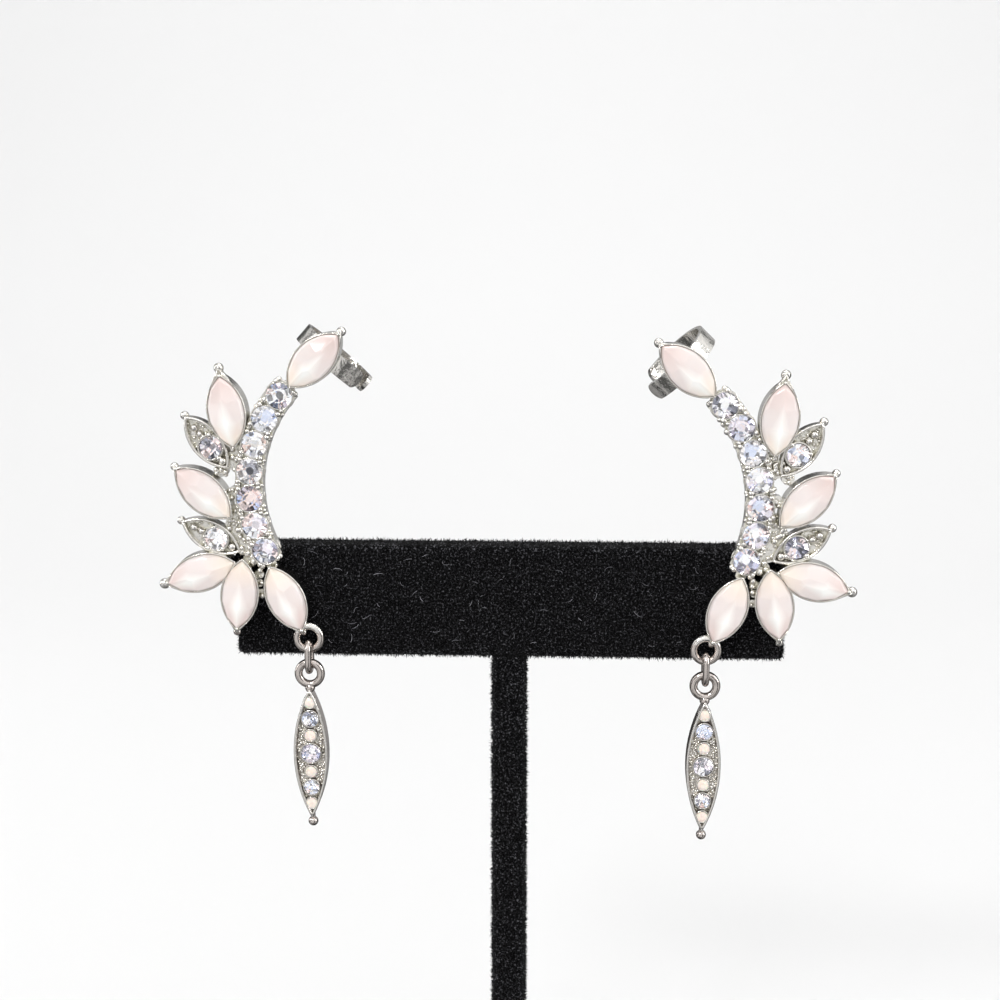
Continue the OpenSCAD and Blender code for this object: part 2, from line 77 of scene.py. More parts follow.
# Floors of a frame: the depths between which they lie, and granules on a square millimetre
WEB_FLOOR = (-4.02 * MM, -3.5 * MM, 3.2)
LEAF_FLOOR = (-3.5 * MM, -3.4 * MM, 5.5)
# A long stone's tiers of facets, steep ones over the rim and gentle ones up to the table:
# where they stand as shares of the half angle, their slope in degrees, and the share of
# the rise at which they start
TIERS = (((-0.86, -0.4, 0.0, 0.4, 0.86), 57, 0.0), ((-0.62, 0.0, 0.62), 24, 0.72))
# Main facets round a crystal, its table's share of the diameter, and the share of the
# diameter that stands over the girdle
MAINS = 8
TABLE = 0.44
CRYSTAL_RISE = 0.22
DROP_CRYSTAL_RISE = 0.24
DROP_OPAL_RISE = 0.16
DROP_LONG = 18.5 * MM
DROP_WIDE = 4.6 * MM
DROP_BALL = 1.35 * MM
DROP_THICK = 1.8 * MM
# A drop's floor lies between these two distances from its back
DROP_FLOOR = (1.3 * MM, 1.2 * MM)
# Granules on a square millimetre of it
DROP_GRAINS = 16.0
# Heights over which the velvet bears pile: the base has none underneath or just over the table
PILE_FROM = {"bar": 0.0, "pole": 0.0, "base": 0.7 * MM}
# The paper: its half width, its front edge, where it starts to curve, the curve's radius and
# its height over that
PAPER = (1.8, -0.6, 0.4, 0.5, 1.0)
# Lamps: name, place, target, size and power
LAMPS = (
    ("key_softbox", (-0.28, -0.42, 0.5), (0, 0, 0.11), (0.16, 0.08), 1.2),
    ("side_softbox", (0.48, -0.12, 0.26), (0, 0, 0.11), (0.1, 0.3), 0.75),
    ("left_softbox", (-0.5, 0.05, 0.2), (0, 0, 0.11), (0.1, 0.3), 0.4),
    ("top_softbox", (0.05, 0.06, 0.6), (0, 0, 0.1), (0.3, 0.2), 0.4),
    ("backdrop_lamp", (0.0, 0.35, 1.1), (0, 0.95, 0.2), (1.2, 0.5), 3.4),
)
# The point that the camera looks at
TARGET = Vector((-1.257, 0, 113.887)) * MM

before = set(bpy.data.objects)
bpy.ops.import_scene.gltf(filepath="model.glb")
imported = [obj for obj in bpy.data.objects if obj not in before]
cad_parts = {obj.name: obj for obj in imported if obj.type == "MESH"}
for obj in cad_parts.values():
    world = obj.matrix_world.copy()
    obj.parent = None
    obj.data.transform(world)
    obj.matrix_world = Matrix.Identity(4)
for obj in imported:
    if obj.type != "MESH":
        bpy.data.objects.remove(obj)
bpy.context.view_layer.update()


def linear(code):
    """An sRGB hex colour as linear RGBA."""
    parts = [int(code[k : k + 2], 16) / 255 for k in (1, 3, 5)]
    return tuple(c / 12.92 if c <= 0.04045 else ((c + 0.055) / 1.055) ** 2.4 for c in parts) + (1.0,)


WHITE = linear("#FFFFFF")


def length_of(name, description, default, low=0.0, high=0.05):
    """A length in the sidebar, kept in metres and shown in millimetres."""
    return FloatProperty(
        name=name, description=description, default=default, min=low, max=high,
        precision=5, step=0.001, subtype="DISTANCE", unit="LENGTH",
    )


def colour_of(name, description, code):
    """A colour in the sidebar, its default given as sRGB hex."""
    return FloatVectorProperty(
        name=name, description=description, default=linear(code), size=4,
        min=0.0, max=1.0, subtype="COLOR",
    )


class MetalSettings(bpy.types.PropertyGroup):
    """Sizes and colours of the plated metal."""

    cup_lip: length_of("Cup lip", "Thickness of the rolled lip round a long stone", 0.2 * MM)
    seat_lip: length_of("Seat lip", "Thickness of the lip round a crystal", 0.2 * MM)
    leaf_lip: length_of("Leaf lip", "Thickness of a leaf's raised edge", 0.36 * MM)
    gallery_wire: length_of("Gallery wire", "Wire that runs round each seat at half height", 0.22 * MM)
    prong: length_of("Prongs", "Diameter of the prong tips that hold a crystal", 0.74 * MM)
    claw: length_of("Claws", "Diameter of the claw over a long stone's outer tip", 0.6 * MM)
    grain: length_of("Granules", "Diameter of the granules on the webs", 0.7 * MM)
    leaf_bead: length_of("Leaf beads", "Diameter of the largest bead beside a leaf's crystal", 1.12 * MM)
    fine_grain: length_of("Fine granules", "Diameter of the granules on sunken floors", 0.42 * MM)
    bright: colour_of("Bright plating", "Colour of the polished plating", "#E9E6E1")
    grey: colour_of("Worn plating", "Colour of the rings and the drops' floors", "#C9C1BC")
    # Painted shade: the brown that occlusion lays on the plating deep in hollows
    shade: colour_of("Hollows", "Colour of the plating deep in hollows", "#62564A")
    # Painted half-shade: the greenish grey that partial occlusion lays on the sunken floors, not thin
    # plating
    warm: colour_of("Floors", "Colour of the sunken floors, where the plating is thin", "#DCD9C6")


class StoneSettings(bpy.types.PropertyGroup):
    """Sizes and colours of the stones."""

    edge: length_of("Stone edges", "Rounding of a long stone's cut edges", 0.5 * MM)
    milk_tip: colour_of("Milky stone, outer tip", "Colour at the outer tip", "#E2CDC8")
    milk_root: colour_of("Milky stone, inner tip", "Colour at the inner tip", "#FCEBDC")
    milk_side: colour_of("Milky stone, sides", "Colour along the sides", "#ECE2DF")
    # The stone's bright heart is a painted glow: light from above gathered at the lower end, not light off
    # the foil
    milk_painted_glow: colour_of("Milky stone, heart", "Colour of the bright kite over the foil", "#FFFCF8")
    peach: colour_of("Small milky stones", "Colour of the small stones in the drops", "#FDEEE2")
    sky: colour_of("Crystal blue", "Bluish foil facets", "#E0E7F8")
    lilac: colour_of("Crystal lilac", "Lilac foil facets", "#F6F0F6")
    # A painted dark reflection on a few foil facets
    painted_dark_reflection: colour_of("Crystal dark", "Dark foil facets", "#A3A4AE")


class VelvetSettings(bpy.types.PropertyGroup):
    """Sizes and colours of the velvet."""

    pile: length_of("Pile length", "Length of the velvet's pile", 0.5 * MM)
    strand: length_of("Pile width", "Width of one tuft, drawn coarse enough to show", 0.1 * MM)
    density: FloatProperty(
        name="Pile density", description="Tufts on a square millimetre", default=20.0, min=1.0, max=40.0,
    )
    lint: IntProperty(name="Lint", description="Number of loose fibres", default=200, min=0, max=400)
    black: colour_of("Velvet", "Colour of the velvet's ground", "#030304")
    # A painted sheen on the velvet's specks and the pile's ends, and the own pale grey of the loose lint
    sheen: colour_of("Pile ends", "Colour of the lightest pile ends", "#D0D0D8")


class StageSettings(bpy.types.PropertyGroup):
    """The floor, the lights and the camera."""

    distance: length_of("Camera distance", "From the camera to the point it looks at", 0.2, 0.05, 5.0)
    elevation: FloatProperty(
        name="Camera height", description="Angle of the camera above the level",
        default=math.radians(11.0), subtype="ANGLE", unit="ROTATION",
    )
    swing: FloatProperty(
        name="Camera swing", description="Angle of the camera to the right of straight on",
        default=math.radians(2.5), subtype="ANGLE", unit="ROTATION",
    )
    lens: FloatProperty(
        name="Lens", description="Focal length for a 36 mm sensor", default=54.0,
        subtype="DISTANCE_CAMERA",
    )
    floor: colour_of("Floor", "Colour of the floor and backdrop", "#EEEEEE")


def node(tree, kind, inputs=None, stops=None, **settings):
    """Adds one shader node with its settings, its ramp's stops, and its values or links.
    An input that is given a whole node is linked to that node's first output."""
    made = tree.nodes.new("ShaderNode" + kind)
    for key, value in settings.items():
        setattr(made, key, value)
    if stops:
        elements = made.color_ramp.elements
        while len(elements) < len(stops):
            elements.new(0.5)
        for element, (place, colour) in zip(elements, stops):
            element.position = place
            element.color = colour
    for key, value in (inputs or {}).items():
        if isinstance(value, bpy.types.Node):
            value = value.outputs[0]
        if isinstance(value, bpy.types.NodeSocket):
            tree.links.new(value, made.inputs[key])
        else:
            made.inputs[key].default_value = value
    return made


def new_material(name):
    """An empty node material and its tree."""
    made = bpy.data.materials.new(name)
    made.use_nodes = True
    made.node_tree.nodes.clear()
    return made, made.node_tree


def plated_metal(name, top, shade, floor, roughness, wave_mm, wave_height, pit_height):
    """Cast white metal with rhodium plating: bright and a little uneven, with painted shade in hollows.
    The eye sees white glints broken by small waves of the casting, a greenish grey of painted
    half-shade on the floors, and brown painted shade in the corners."""
    made, tree = new_material(name)
    place = node(tree, "TexCoord").outputs["Object"]
    waves = node(tree, "TexNoise", {"Vector": place, "Scale": 1 / (wave_mm * MM), "Detail": 3.0})
    pits = node(tree, "TexNoise", {"Vector": place, "Scale": 1 / (0.25 * MM), "Detail": 2.0})
    patches = node(tree, "TexNoise", {"Vector": place, "Scale": 1 / (1.6 * MM), "Detail": 2.0})
    # The colour follows the occlusion: brown painted shade deep in hollows, greenish grey painted
    # half-shade on the floors, bright plating on top
    hollow = node(tree, "AmbientOcclusion", {"Distance": 0.7 * MM}, samples=6).outputs["AO"]
    drift = node(tree, "MapRange", {
        "Value": patches, "From Min": 0.3, "From Max": 0.7, "To Min": -0.14, "To Max": 0.14,
    })
    depth = node(tree, "Math", {0: hollow, 1: drift}, operation="ADD")
    colour = node(tree, "ValToRGB", {"Fac": depth}, stops=[(0.08, shade), (0.28, floor), (0.6, top)])
    polish = node(tree, "MapRange", {"Value": waves, "To Min": roughness, "To Max": roughness + 0.1})
    matt = node(tree, "MapRange", {
        "Value": hollow, "From Min": 0.25, "From Max": 0.7, "To Min": 0.3, "To Max": 0.0,
    })
    rough = node(tree, "Math", {0: polish, 1: matt}, operation="ADD")
    ripple = node(tree, "Bump", {"Height": waves, "Distance": wave_height * MM, "Strength": 0.8})
    grain = node(tree, "Bump", {
        "Height": pits, "Distance": pit_height * MM, "Strength": 0.7, "Normal": ripple,
    })
    surface = node(tree, "BsdfPrincipled", {
        "Base Color": colour, "Metallic": 1.0, "Roughness": rough, "Normal": grain,
    })
    node(tree, "OutputMaterial", {"Surface": surface})
    return made


def milky_resin(name, tip, root, side, painted_glow):
    """Moulded milky resin over a foil back: soft light inside, a glassy skin outside.
    The eye sees pink at the outer tip, cream at the inner one, and a soft bright kite towards
    the lower end: a painted glow for the light that falls in from above and gathers there."""
    made, tree = new_material(name)
    along, aside, down, facet = (
        node(tree, "Attribute", attribute_name=key).outputs["Fac"]
        for key in ("along", "aside", "down", "facet")
    )
    place = node(tree, "TexCoord").outputs["Object"]
    cloud = node(tree, "TexNoise", {"Vector": place, "Scale": 1 / (2.2 * MM), "Detail": 1.0})
    blush = node(tree, "MapRange", {"Value": along, "From Min": 0.1, "From Max": 1.0})
    cream = node(tree, "MapRange", {"Value": along, "From Min": -0.2, "From Max": -1.0})
    pink = node(tree, "Mix", {0: blush, 6: side, 7: tip}, data_type="RGBA").outputs[2]
    skin = node(tree, "Mix", {0: cream, 6: pink, 7: root}, data_type="RGBA").outputs[2]
    # The kite of painted glow: its middle a third of the way to the lower tip, its sides straight and soft
    far = node(tree, "Math", {0: down, 1: 0.34}, operation="SUBTRACT")
    long_part = node(tree, "Math", {0: far}, operation="ABSOLUTE")
    wide_part = node(tree, "Math", {0: aside}, operation="ABSOLUTE")
    off = node(tree, "Math", {0: long_part, 1: 0.75, 2: wide_part}, operation="MULTIPLY_ADD")
    kite = node(tree, "MapRange", {
        "Value": off, "From Min": 0.12, "From Max": 0.62, "To Min": 0.95, "To Max": 0.0,
    })
    milk = node(tree, "Mix", {0: kite, 6: skin, 7: painted_glow}, data_type="RGBA").outputs[2]
    # Each facet a little darker at random: painted facet shading
    turn = node(tree, "Math", {0: facet, 1: 0.035}, operation="MULTIPLY")
    drift = node(tree, "MapRange", {"Value": cloud, "To Min": 0.97, "To Max": 1.05})
    level = node(tree, "Math", {0: drift, 1: turn}, operation="SUBTRACT")
    colour = node(tree, "HueSaturation", {"Color": milk, "Value": level})
    surface = node(tree, "BsdfPrincipled", {
        "Base Color": colour, "Roughness": 0.1, "IOR": 1.5, "Subsurface Weight": 0.6,
        "Subsurface Radius": (1.0, 0.92, 0.88), "Subsurface Scale": 1.2 * MM, "Coat Weight": 0.5,
        "Coat Roughness": 0.04,
    })
    node(tree, "OutputMaterial", {"Surface": surface})
    return made


def peach_resin(name, peach):
    """Small cabochons of opaque resin with a fine milky grain: peach, matt in patches."""
    made, tree = new_material(name)
    place = node(tree, "TexCoord").outputs["Object"]
    grain = node(tree, "TexNoise", {"Vector": place, "Scale": 1 / (0.3 * MM), "Detail": 2.0})
    level = node(tree, "MapRange", {"Value": grain, "To Min": 0.86, "To Max": 1.1})
    colour = node(tree, "HueSaturation", {"Color": peach, "Value": level})
    rough = node(tree, "MapRange", {"Value": grain, "To Min": 0.15, "To Max": 0.5})
    surface = node(tree, "BsdfPrincipled", {
        "Base Color": colour, "Roughness": rough, "IOR": 1.5, "Subsurface Weight": 0.2,
        "Subsurface Scale": 0.3 * MM,
    })
    node(tree, "OutputMaterial", {"Surface": surface})
    return made


def cut_glass(name):
    """Lead glass of a rhinestone's crown: clear, flat and sharp, so each facet throws
    the foil behind it and the lamps in front of it in a new direction."""
    made, tree = new_material(name)
    place = node(tree, "TexCoord").outputs["Object"]
    swirl = node(tree, "TexNoise", {"Vector": place, "Scale": 1 / (1.5 * MM)})
    rough = node(tree, "MapRange", {"Value": swirl, "To Min": 0.0, "To Max": 0.04})
    surface = node(tree, "BsdfPrincipled", {
        "Base Color": WHITE, "Roughness": rough, "IOR": 1.56, "Transmission Weight": 1.0,
    })
    node(tree, "OutputMaterial", {"Surface": surface})
    return made


def foil_back(name, sky, lilac, painted_dark_reflection):
    """Mirror foil on the back facets of a rhinestone, with a thin rainbow coating: each
    facet is a small mirror of its own tint, silver, blue, lilac or rose, and a few nearly black with a
    painted dark reflection."""
    made, tree = new_material(name)
    facet = node(tree, "Attribute", attribute_name="facet").outputs["Fac"]
    place = node(tree, "TexCoord").outputs["Object"]
    film = node(tree, "TexNoise", {"Vector": place, "Scale": 1 / (1.1 * MM), "Detail": 1.0})
    # Facets take the coating's tints, and those past 0.93 a painted dark reflection
    tint = node(tree, "ValToRGB", {"Fac": facet}, stops=[
        (0.0, WHITE), (0.3, linear("#F8F8F9")), (0.4, sky), (0.56, WHITE), (0.66, lilac),
        (0.76, linear("#FBEAE5")), (0.86, WHITE), (0.93, painted_dark_reflection),
    ])
    tint.color_ramp.interpolation = "CONSTANT"
    sheen = node(tree, "ValToRGB", {"Fac": film}, stops=[
        (0.35, WHITE), (0.5, linear("#FAFBFF")), (0.65, linear("#FFFBF8")),
    ])
    colour = node(
        tree, "Mix", {0: 1.0, 6: tint, 7: sheen}, data_type="RGBA", blend_type="MULTIPLY",
    ).outputs[2]
    surface = node(tree, "BsdfPrincipled", {"Base Color": colour, "Metallic": 1.0, "Roughness": 0.08})
    node(tree, "OutputMaterial", {"Surface": surface})
    return made


def black_velvet(name, black, sheen):
    """Cotton velvet glued over board: matt black with grey specks of painted sheen where the pile leans.
    Tufts are drawn near 0.2 mm wide, coarser than real ones, so that they show."""
    made, tree = new_material(name)
    place = node(tree, "TexCoord").outputs["Object"]
    tufts = node(tree, "TexNoise", {
        "Vector": place, "Scale": 1 / (0.28 * MM), "Detail": 2.0, "Roughness": 0.6,
    })
    crush = node(tree, "TexNoise", {"Vector": place, "Scale": 1 / (6.0 * MM), "Detail": 2.0})
    # Grey specks of painted sheen over the black ground
    light = node(tree, "ValToRGB", {"Fac": tufts}, stops=[(0.55, (0, 0, 0, 1)), (0.85, (0.4, 0.4, 0.4, 1))])
    nap = node(tree, "Mix", {0: light, 6: black, 7: sheen}, data_type="RGBA").outputs[2]
    worn = node(tree, "MapRange", {"Value": crush, "To Min": 0.75, "To Max": 1.2})
    colour = node(tree, "HueSaturation", {"Color": nap, "Value": worn})
    bump = node(tree, "Bump", {"Height": tufts, "Distance": 0.2 * MM, "Strength": 0.8})
    surface = node(tree, "BsdfPrincipled", {
        "Base Color": colour, "Roughness": 0.95, "Specular IOR Level": 0.1, "Sheen Weight": 0.03,
        "Sheen Roughness": 0.5, "Normal": bump,
    })
    node(tree, "OutputMaterial", {"Surface": surface})
    return made


def pile_fibre(name, black, sheen):
    """Dyed cotton pile: most tufts are black, a few carry a painted highlight along their ends."""
    made, tree = new_material(name)
    shade = node(tree, "Attribute", attribute_name="shade").outputs["Fac"]
    tone = node(tree, "ValToRGB", {"Fac": shade}, stops=[
        (0.0, black), (0.6, black), (0.8, linear("#222226")), (0.93, linear("#505056")), (1.0, sheen),
    ])
    surface = node(tree, "BsdfPrincipled", {
        "Base Color": tone, "Roughness": 0.7, "Specular IOR Level": 0.3,
    })
    node(tree, "OutputMaterial", {"Surface": surface})
    return made


def backdrop_paper(name, floor):
    """Matt white studio paper, its faint fibre too even to show."""
    made, tree = new_material(name)
    place = node(tree, "TexCoord").outputs["Object"]
    fibre = node(tree, "TexNoise", {"Vector": place, "Scale": 1 / (3.0 * MM)})
    bump = node(tree, "Bump", {"Height": fibre, "Distance": 0.02 * MM, "Strength": 0.2})
    part = node(tree, "SeparateXYZ", {"Vector": place}).outputs
    near = node(tree, "MapRange", {"Value": part["Y"], "From Max": 0.7, "To Min": 0.87, "To Max": 1.0})
    shade = node(tree, "HueSaturation", {"Color": floor, "Value": near})
    # The far parts, which the lamps don't reach, glow as if a lamp stood over them too
    across = node(tree, "Math", {0: part["X"]}, operation="ABSOLUTE")
    beside = node(tree, "MapRange", {"Value": across, "From Min": 0.45, "From Max": 1.3, "To Max": 0.42})
    ahead = node(tree, "MapRange", {
        "Value": part["Y"], "From Min": -0.15, "From Max": -0.6, "To Max": 0.42,
    })
    glow = node(tree, "Math", {0: beside, 1: ahead}, operation="MAXIMUM")
    surface = node(tree, "BsdfPrincipled", {
        "Base Color": shade, "Roughness": 0.9, "Normal": bump, "Emission Color": WHITE,
        "Emission Strength": glow,
    })
    node(tree, "OutputMaterial", {"Surface": surface})
    return made


# Platings: name, colours on top, of the painted shade in hollows and of the painted
# half-shade on floors, roughness, length and height of the casting's waves and depth of
# its pits in millimetres. The sandy one's grain is drawn near 0.4 mm wide, coarser than
# that of real sandy casting, so that it shows.
PLATINGS = {
    "cast": ("rhodium_plated_casting", "bright", "shade", "warm", 0.1, 0.8, 0.1, 0.03),
    "sandy": ("sandy_plated_casting", "bright", "shade", "grey", 0.16, 0.42, 0.16, 0.2),
    "bright": ("rhodium_plated_polish", "bright", "shade", "warm", 0.07, 0.7, 0.05, 0.015),
    "wire": ("rhodium_plated_wire", "grey", "shade", "grey", 0.06, 0.9, 0.05, 0.015),
}
# Every other finish: its maker, its name, and its colours in one group of settings
COATINGS = {
    "milk": (
        milky_resin, "moulded_milky_resin", "climber_stones",
        ("milk_tip", "milk_root", "milk_side", "milk_painted_glow"),
    ),
    "peach": (peach_resin, "cast_peach_resin", "climber_stones", ("peach",)),
    "glass": (cut_glass, "cut_lead_glass", "climber_stones", ()),
    "foil": (foil_back, "rainbow_foil_back", "climber_stones", ("sky", "lilac", "painted_dark_reflection")),
    "velvet": (black_velvet, "glued_cotton_velvet", "climber_velvet", ("black", "sheen")),
    "pile": (pile_fibre, "dyed_cotton_pile", "climber_velvet", ("black", "sheen")),
    "paper": (backdrop_paper, "matt_backdrop_paper", "climber_stage", ("floor",)),
}
FINISHES = {}


def finish(kind):
    """The material of one finish, made once."""
    if kind not in FINISHES and kind in PLATINGS:
        name, *colours = PLATINGS[kind][:4]
        metal = bpy.context.scene.climber_metal
        FINISHES[kind] = plated_metal(name, *(getattr(metal, key) for key in colours), *PLATINGS[kind][4:])
    elif kind not in FINISHES:
        maker, name, group, colours = COATINGS[kind]
        settings = getattr(bpy.context.scene, group)
        FINISHES[kind] = maker(name, *(getattr(settings, key) for key in colours))
    return FINISHES[kind]


def mesh_of(name, bm):
    """Turns a bmesh into a mesh."""
    mesh = bpy.data.meshes.new(name)
    bm.to_mesh(mesh)
    bm.free()
    return mesh


def dressed(mesh, body, finishes, nodes=(), smooth=True):
    """A finished piece from a mesh, which rides on a body and stands for CAD nodes."""
    mesh.polygons.foreach_set("use_smooth", [smooth] * len(mesh.polygons))
    for kind in finishes:
        mesh.materials.append(finish(kind))
    piece = bpy.data.objects.new(mesh.name, mesh)
    bpy.context.scene.collection.objects.link(piece)
    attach(piece, body)
    if nodes:
        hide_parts(*nodes)
    return piece


def add_piece(name, bm, body, finishes, nodes=(), smooth=True):
    """A finished piece from a bmesh."""
    return dressed(mesh_of(name, bm), body, finishes, nodes, smooth)


def joined(name, corners, polygons, body, kind, smooth=True):
    """Many copies of one small thing in one mesh: an array of each copy's corners, and
    the polygons of one copy."""
    count, each = corners.shape[:2]
    copies = np.arange(count)[:, None]
    sizes = [len(p) for p in polygons]
    one = np.concatenate(polygons)
    mesh = bpy.data.meshes.new(name)
    mesh.vertices.add(count * each)
    mesh.vertices.foreach_set("co", corners.astype(np.float32).ravel())
    mesh.loops.add(count * len(one))
    mesh.loops.foreach_set("vertex_index", (copies * each + one).astype(np.int32).ravel())
    mesh.polygons.add(count * len(polygons))
    starts = copies * len(one) + np.cumsum([0] + sizes[:-1])
    mesh.polygons.foreach_set("loop_start", starts.astype(np.int32).ravel())
    mesh.update(calc_edges=True)
    return dressed(mesh, body, [kind], smooth=smooth)


def lighten(piece, tone):
    """Gives each corner of a piece its lightness."""
    shade = piece.data.attributes.new("shade", "FLOAT", "POINT")
    shade.data.foreach_set("value", tone.astype(np.float32))


def verts_of(geom):
    return [g for g in geom if isinstance(g, bmesh.types.BMVert)]


def edges_of(geom):
    return [g for g in geom if isinstance(g, bmesh.types.BMEdge)]


def pulled(bm, edges, way):
    """Pulls new faces out of some edges, and gives their far corners and edges."""
    geom = bmesh.ops.extrude_edge_only(bm, edges=edges)["geom"]
    verts = verts_of(geom)
    bmesh.ops.translate(bm, verts=verts, vec=way)
    return verts + [e for e in edges_of(geom) if all(v in verts for v in e.verts)]


def placed(x_axis, y_axis, z_axis, spot):
    """A place with its three axes and its origin."""
    place = Matrix((x_axis, y_axis, z_axis)).transposed().to_4x4()
    place.translation = spot
    return place


def front_place(spot):
    """A place that faces the front: x to the right, y up, z to the front."""
    return placed((1, 0, 0), (0, 0, 1), (0, -1, 0), spot)


def points_of(name):
    """The corners of a CAD solid, one row each."""
    return np.array([v.co[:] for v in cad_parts[name].data.vertices])


def middle_of(name):
    low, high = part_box(name)
    return (low + high) / 2


def radius_of(name):
    low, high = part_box(name)
    return (high.x - low.x) / 2


def spine_middles(side):
    return [middle_of(f"{side}_crystal_{k}") for k in SPINE]


def leaf_way(side, leaf):
    """The way along a leaf to its outer tip."""
    _, _, along_x, along_z = LEAF_PLACES[side, leaf]
    return Vector((along_x, 0, along_z)).normalized()


def leaf_place(side, leaf):
    """Where a leaf lies: its length along x, outer tip at +x, and its rim on z = 0."""
    x, z, _, _ = LEAF_PLACES[side, leaf]
    along = leaf_way(side, leaf)
    return placed(along, FRONT.cross(along), FRONT, (x * MM, BACK_Y - LEAF_HIGH, z * MM))


def long_place(side, stone):
    """Where a long stone lies: a matrix with its length along x, outer tip at +x, its
    front along z and the cup's edge on z = 0, and its length, width, rise and depth."""
    points = points_of(f"{side}_opal_{stone}")
    flat = points[:, [0, 2]]
    centre = (flat.min(0) + flat.max(0)) / 2
    tip = flat[np.argmax(((flat - centre) ** 2).sum(1))] - centre
    half = float(np.hypot(*tip))
    tips = points[np.abs(((flat - centre) ** 2).sum(1) ** 0.5 - half) < 1e-6]
    edge_y = tips[:, 1].min() - 0.02 * MM
    reach = [
        min(math.hypot(t[0] - m.x, t[1] - m.z) for m in spine_middles(side))
        for t in (centre + tip, centre - tip)
    ]
    u = tip / half if reach[0] > reach[1] else -tip / half
    x_axis = Vector((u[0], 0, u[1]))
    y_axis = FRONT.cross(x_axis)
    wide = float(np.abs((flat - centre) @ np.array([y_axis.x, y_axis.z])).max())
    place = placed(x_axis, y_axis, FRONT, (centre[0], edge_y, centre[1]))
    return place, 2 * half, 2 * wide, edge_y - points[:, 1].min(), points[:, 1].max() - edge_y


def pointed(length, width, grow=0.0):
    """The two arcs of a pointed oval: radius, middle's distance off the axis, half angle."""
    radius = (length**2 + width**2) / (4 * width)
    off = radius - width / 2
    return radius + grow, off, math.acos(off / (radius + grow))


def pointed_face(bm, length, width, height, steps=26):
    """A flat pointed oval, its rim spun from one point, as one face at a height."""
    radius, off, half = pointed(length, width)
    last = [bm.verts.new((radius * math.sin(half), 0, height))]
    for way in (-1, 1):
        last = bmesh.ops.spin(
            bm, geom=last, cent=(0, way * off, height), axis=(0, 0, 1), angle=2 * half, steps=steps,
        )["geom_last"]
    bmesh.ops.remove_doubles(bm, verts=bm.verts, dist=1e-7)
    return bmesh.ops.contextual_create(bm, geom=bm.edges[:])["faces"][0]


def cut_off(bm, point, normal):
    """Cuts a stone by one flat facet and closes the cut."""
    cut = bmesh.ops.bisect_plane(
        bm, geom=bm.verts[:] + bm.edges[:] + bm.faces[:], dist=1e-8, plane_co=point, plane_no=normal,
        clear_outer=True,
    )["geom_cut"]
    edges = edges_of(cut)
    if edges:
        bmesh.ops.edgeloop_fill(bm, edges=edges)


def wire_round(bm, place, centre, start, angle, steps, wire):
    """A round wire spun from a start point about a centre, in the place's own plane."""
    centre, start = Vector(centre), Vector(start)
    out = (start - centre).normalized()
    up = Vector((0, 0, 1))
    profile = place @ placed(out, up, out.cross(up), start)
    ring = bmesh.ops.create_circle(bm, segments=8, radius=wire / 2, matrix=profile)["verts"]
    edges = list({e for v in ring for e in v.link_edges})
    full = abs(angle) > 6.283
    made = bmesh.ops.spin(
        bm, geom=ring + edges, cent=place @ centre, axis=place.to_3x3() @ up, angle=angle, steps=steps,
        use_merge=full,
    )["geom_last"]
    if not full:
        bmesh.ops.contextual_create(bm, geom=edges)
        bmesh.ops.contextual_create(bm, geom=edges_of(made))


def pointed_wire(bm, place, length, width, grow, wire, height, steps=30):
    """A wire along a pointed oval, with a small bead over each tip."""
    radius, off, half = pointed(length, width, grow)
    tip = radius * math.sin(half)
    for way in (-1, 1):
        wire_round(bm, place, (0, way * off, height), (-way * tip, 0, height), 2 * half, steps, wire)
        spot = place @ Matrix.Translation((way * tip, 0, height))
        bmesh.ops.create_icosphere(bm, subdivisions=2, radius=0.56 * wire, matrix=spot)


def peak(bm, place, length, width, grow, reach, wire, height):
    """Two straight wires that run on from a pointed oval's sides and meet in its tip ball,
    with a web of metal between them."""
    radius, off, _ = pointed(length, width, grow)
    ball = Vector((length / 2 + reach, 0, height))
    turn = math.atan2(off, ball.x) + math.acos(radius / math.hypot(ball.x, off))
    forth, out = radius * math.cos(turn), radius * math.sin(turn) - off
    feet = [Vector((forth, way * out, height)) for way in (1, -1)]
    for foot in feet:
        run = ball - foot
        along = Matrix.Translation((foot + ball) / 2) @ run.to_track_quat("Z", "Y").to_matrix().to_4x4()
        bmesh.ops.create_cone(
            bm, cap_ends=True, segments=8, radius1=wire / 2, radius2=wire / 2, depth=run.length,
            matrix=place @ along,
        )
    inner = Vector((length / 2 - 0.3 * MM, 0, height))
    # The web is sunk 0.5 mm so that the plating's painted shade darkens it
    sunk = Vector((0, 0, 0.5 * MM))
    face = bm.faces.new([bm.verts.new(place @ (c - sunk)) for c in (feet[0], inner, feet[1], ball)])
    deep = bmesh.ops.extrude_face_region(bm, geom=[face])["geom"]
    bmesh.ops.translate(bm, verts=verts_of(deep), vec=place.to_3x3() @ Vector((0, 0, -0.8 * MM)))


def ring_wire(bm, middle, radius, wire, y, steps=36):
    """A wire ring that faces the front, round a middle, at a depth y."""
    place = front_place((middle.x, y, middle.z))
    wire_round(bm, place, (0, 0, 0), (radius, 0, 0), 2 * math.pi, steps, wire)


def bead(bm, middle, diameter, rounds=2):
    """A small ball of metal."""
    spot = Matrix.Translation(middle)
    bmesh.ops.create_icosphere(bm, subdivisions=rounds, radius=diameter / 2, matrix=spot)


def outward(bm):
    """Merges doubles and points all faces outwards."""
    bmesh.ops.remove_doubles(bm, verts=bm.verts, dist=1e-7)
    bmesh.ops.recalc_face_normals(bm, faces=bm.faces)


def merged_copy(name, sharp=math.radians(34)):
    """A copy of a CAD solid with its doubles merged and its hard edges marked."""
    bm = bmesh.new()
    bm.from_mesh(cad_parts[name].data)
    bmesh.ops.remove_doubles(bm, verts=bm.verts, dist=1e-7)
    for edge in bm.edges:
        edge.smooth = len(edge.link_faces) == 2 and edge.calc_face_angle(0.0) < sharp
    return bm


def number_facets(bm, rng):
    """Gives every facet a number of its own from 0 to 1, for its tint."""
    layer = bm.faces.layers.float.new("facet")
    for face in bm.faces:
        face[layer] = rng.random()


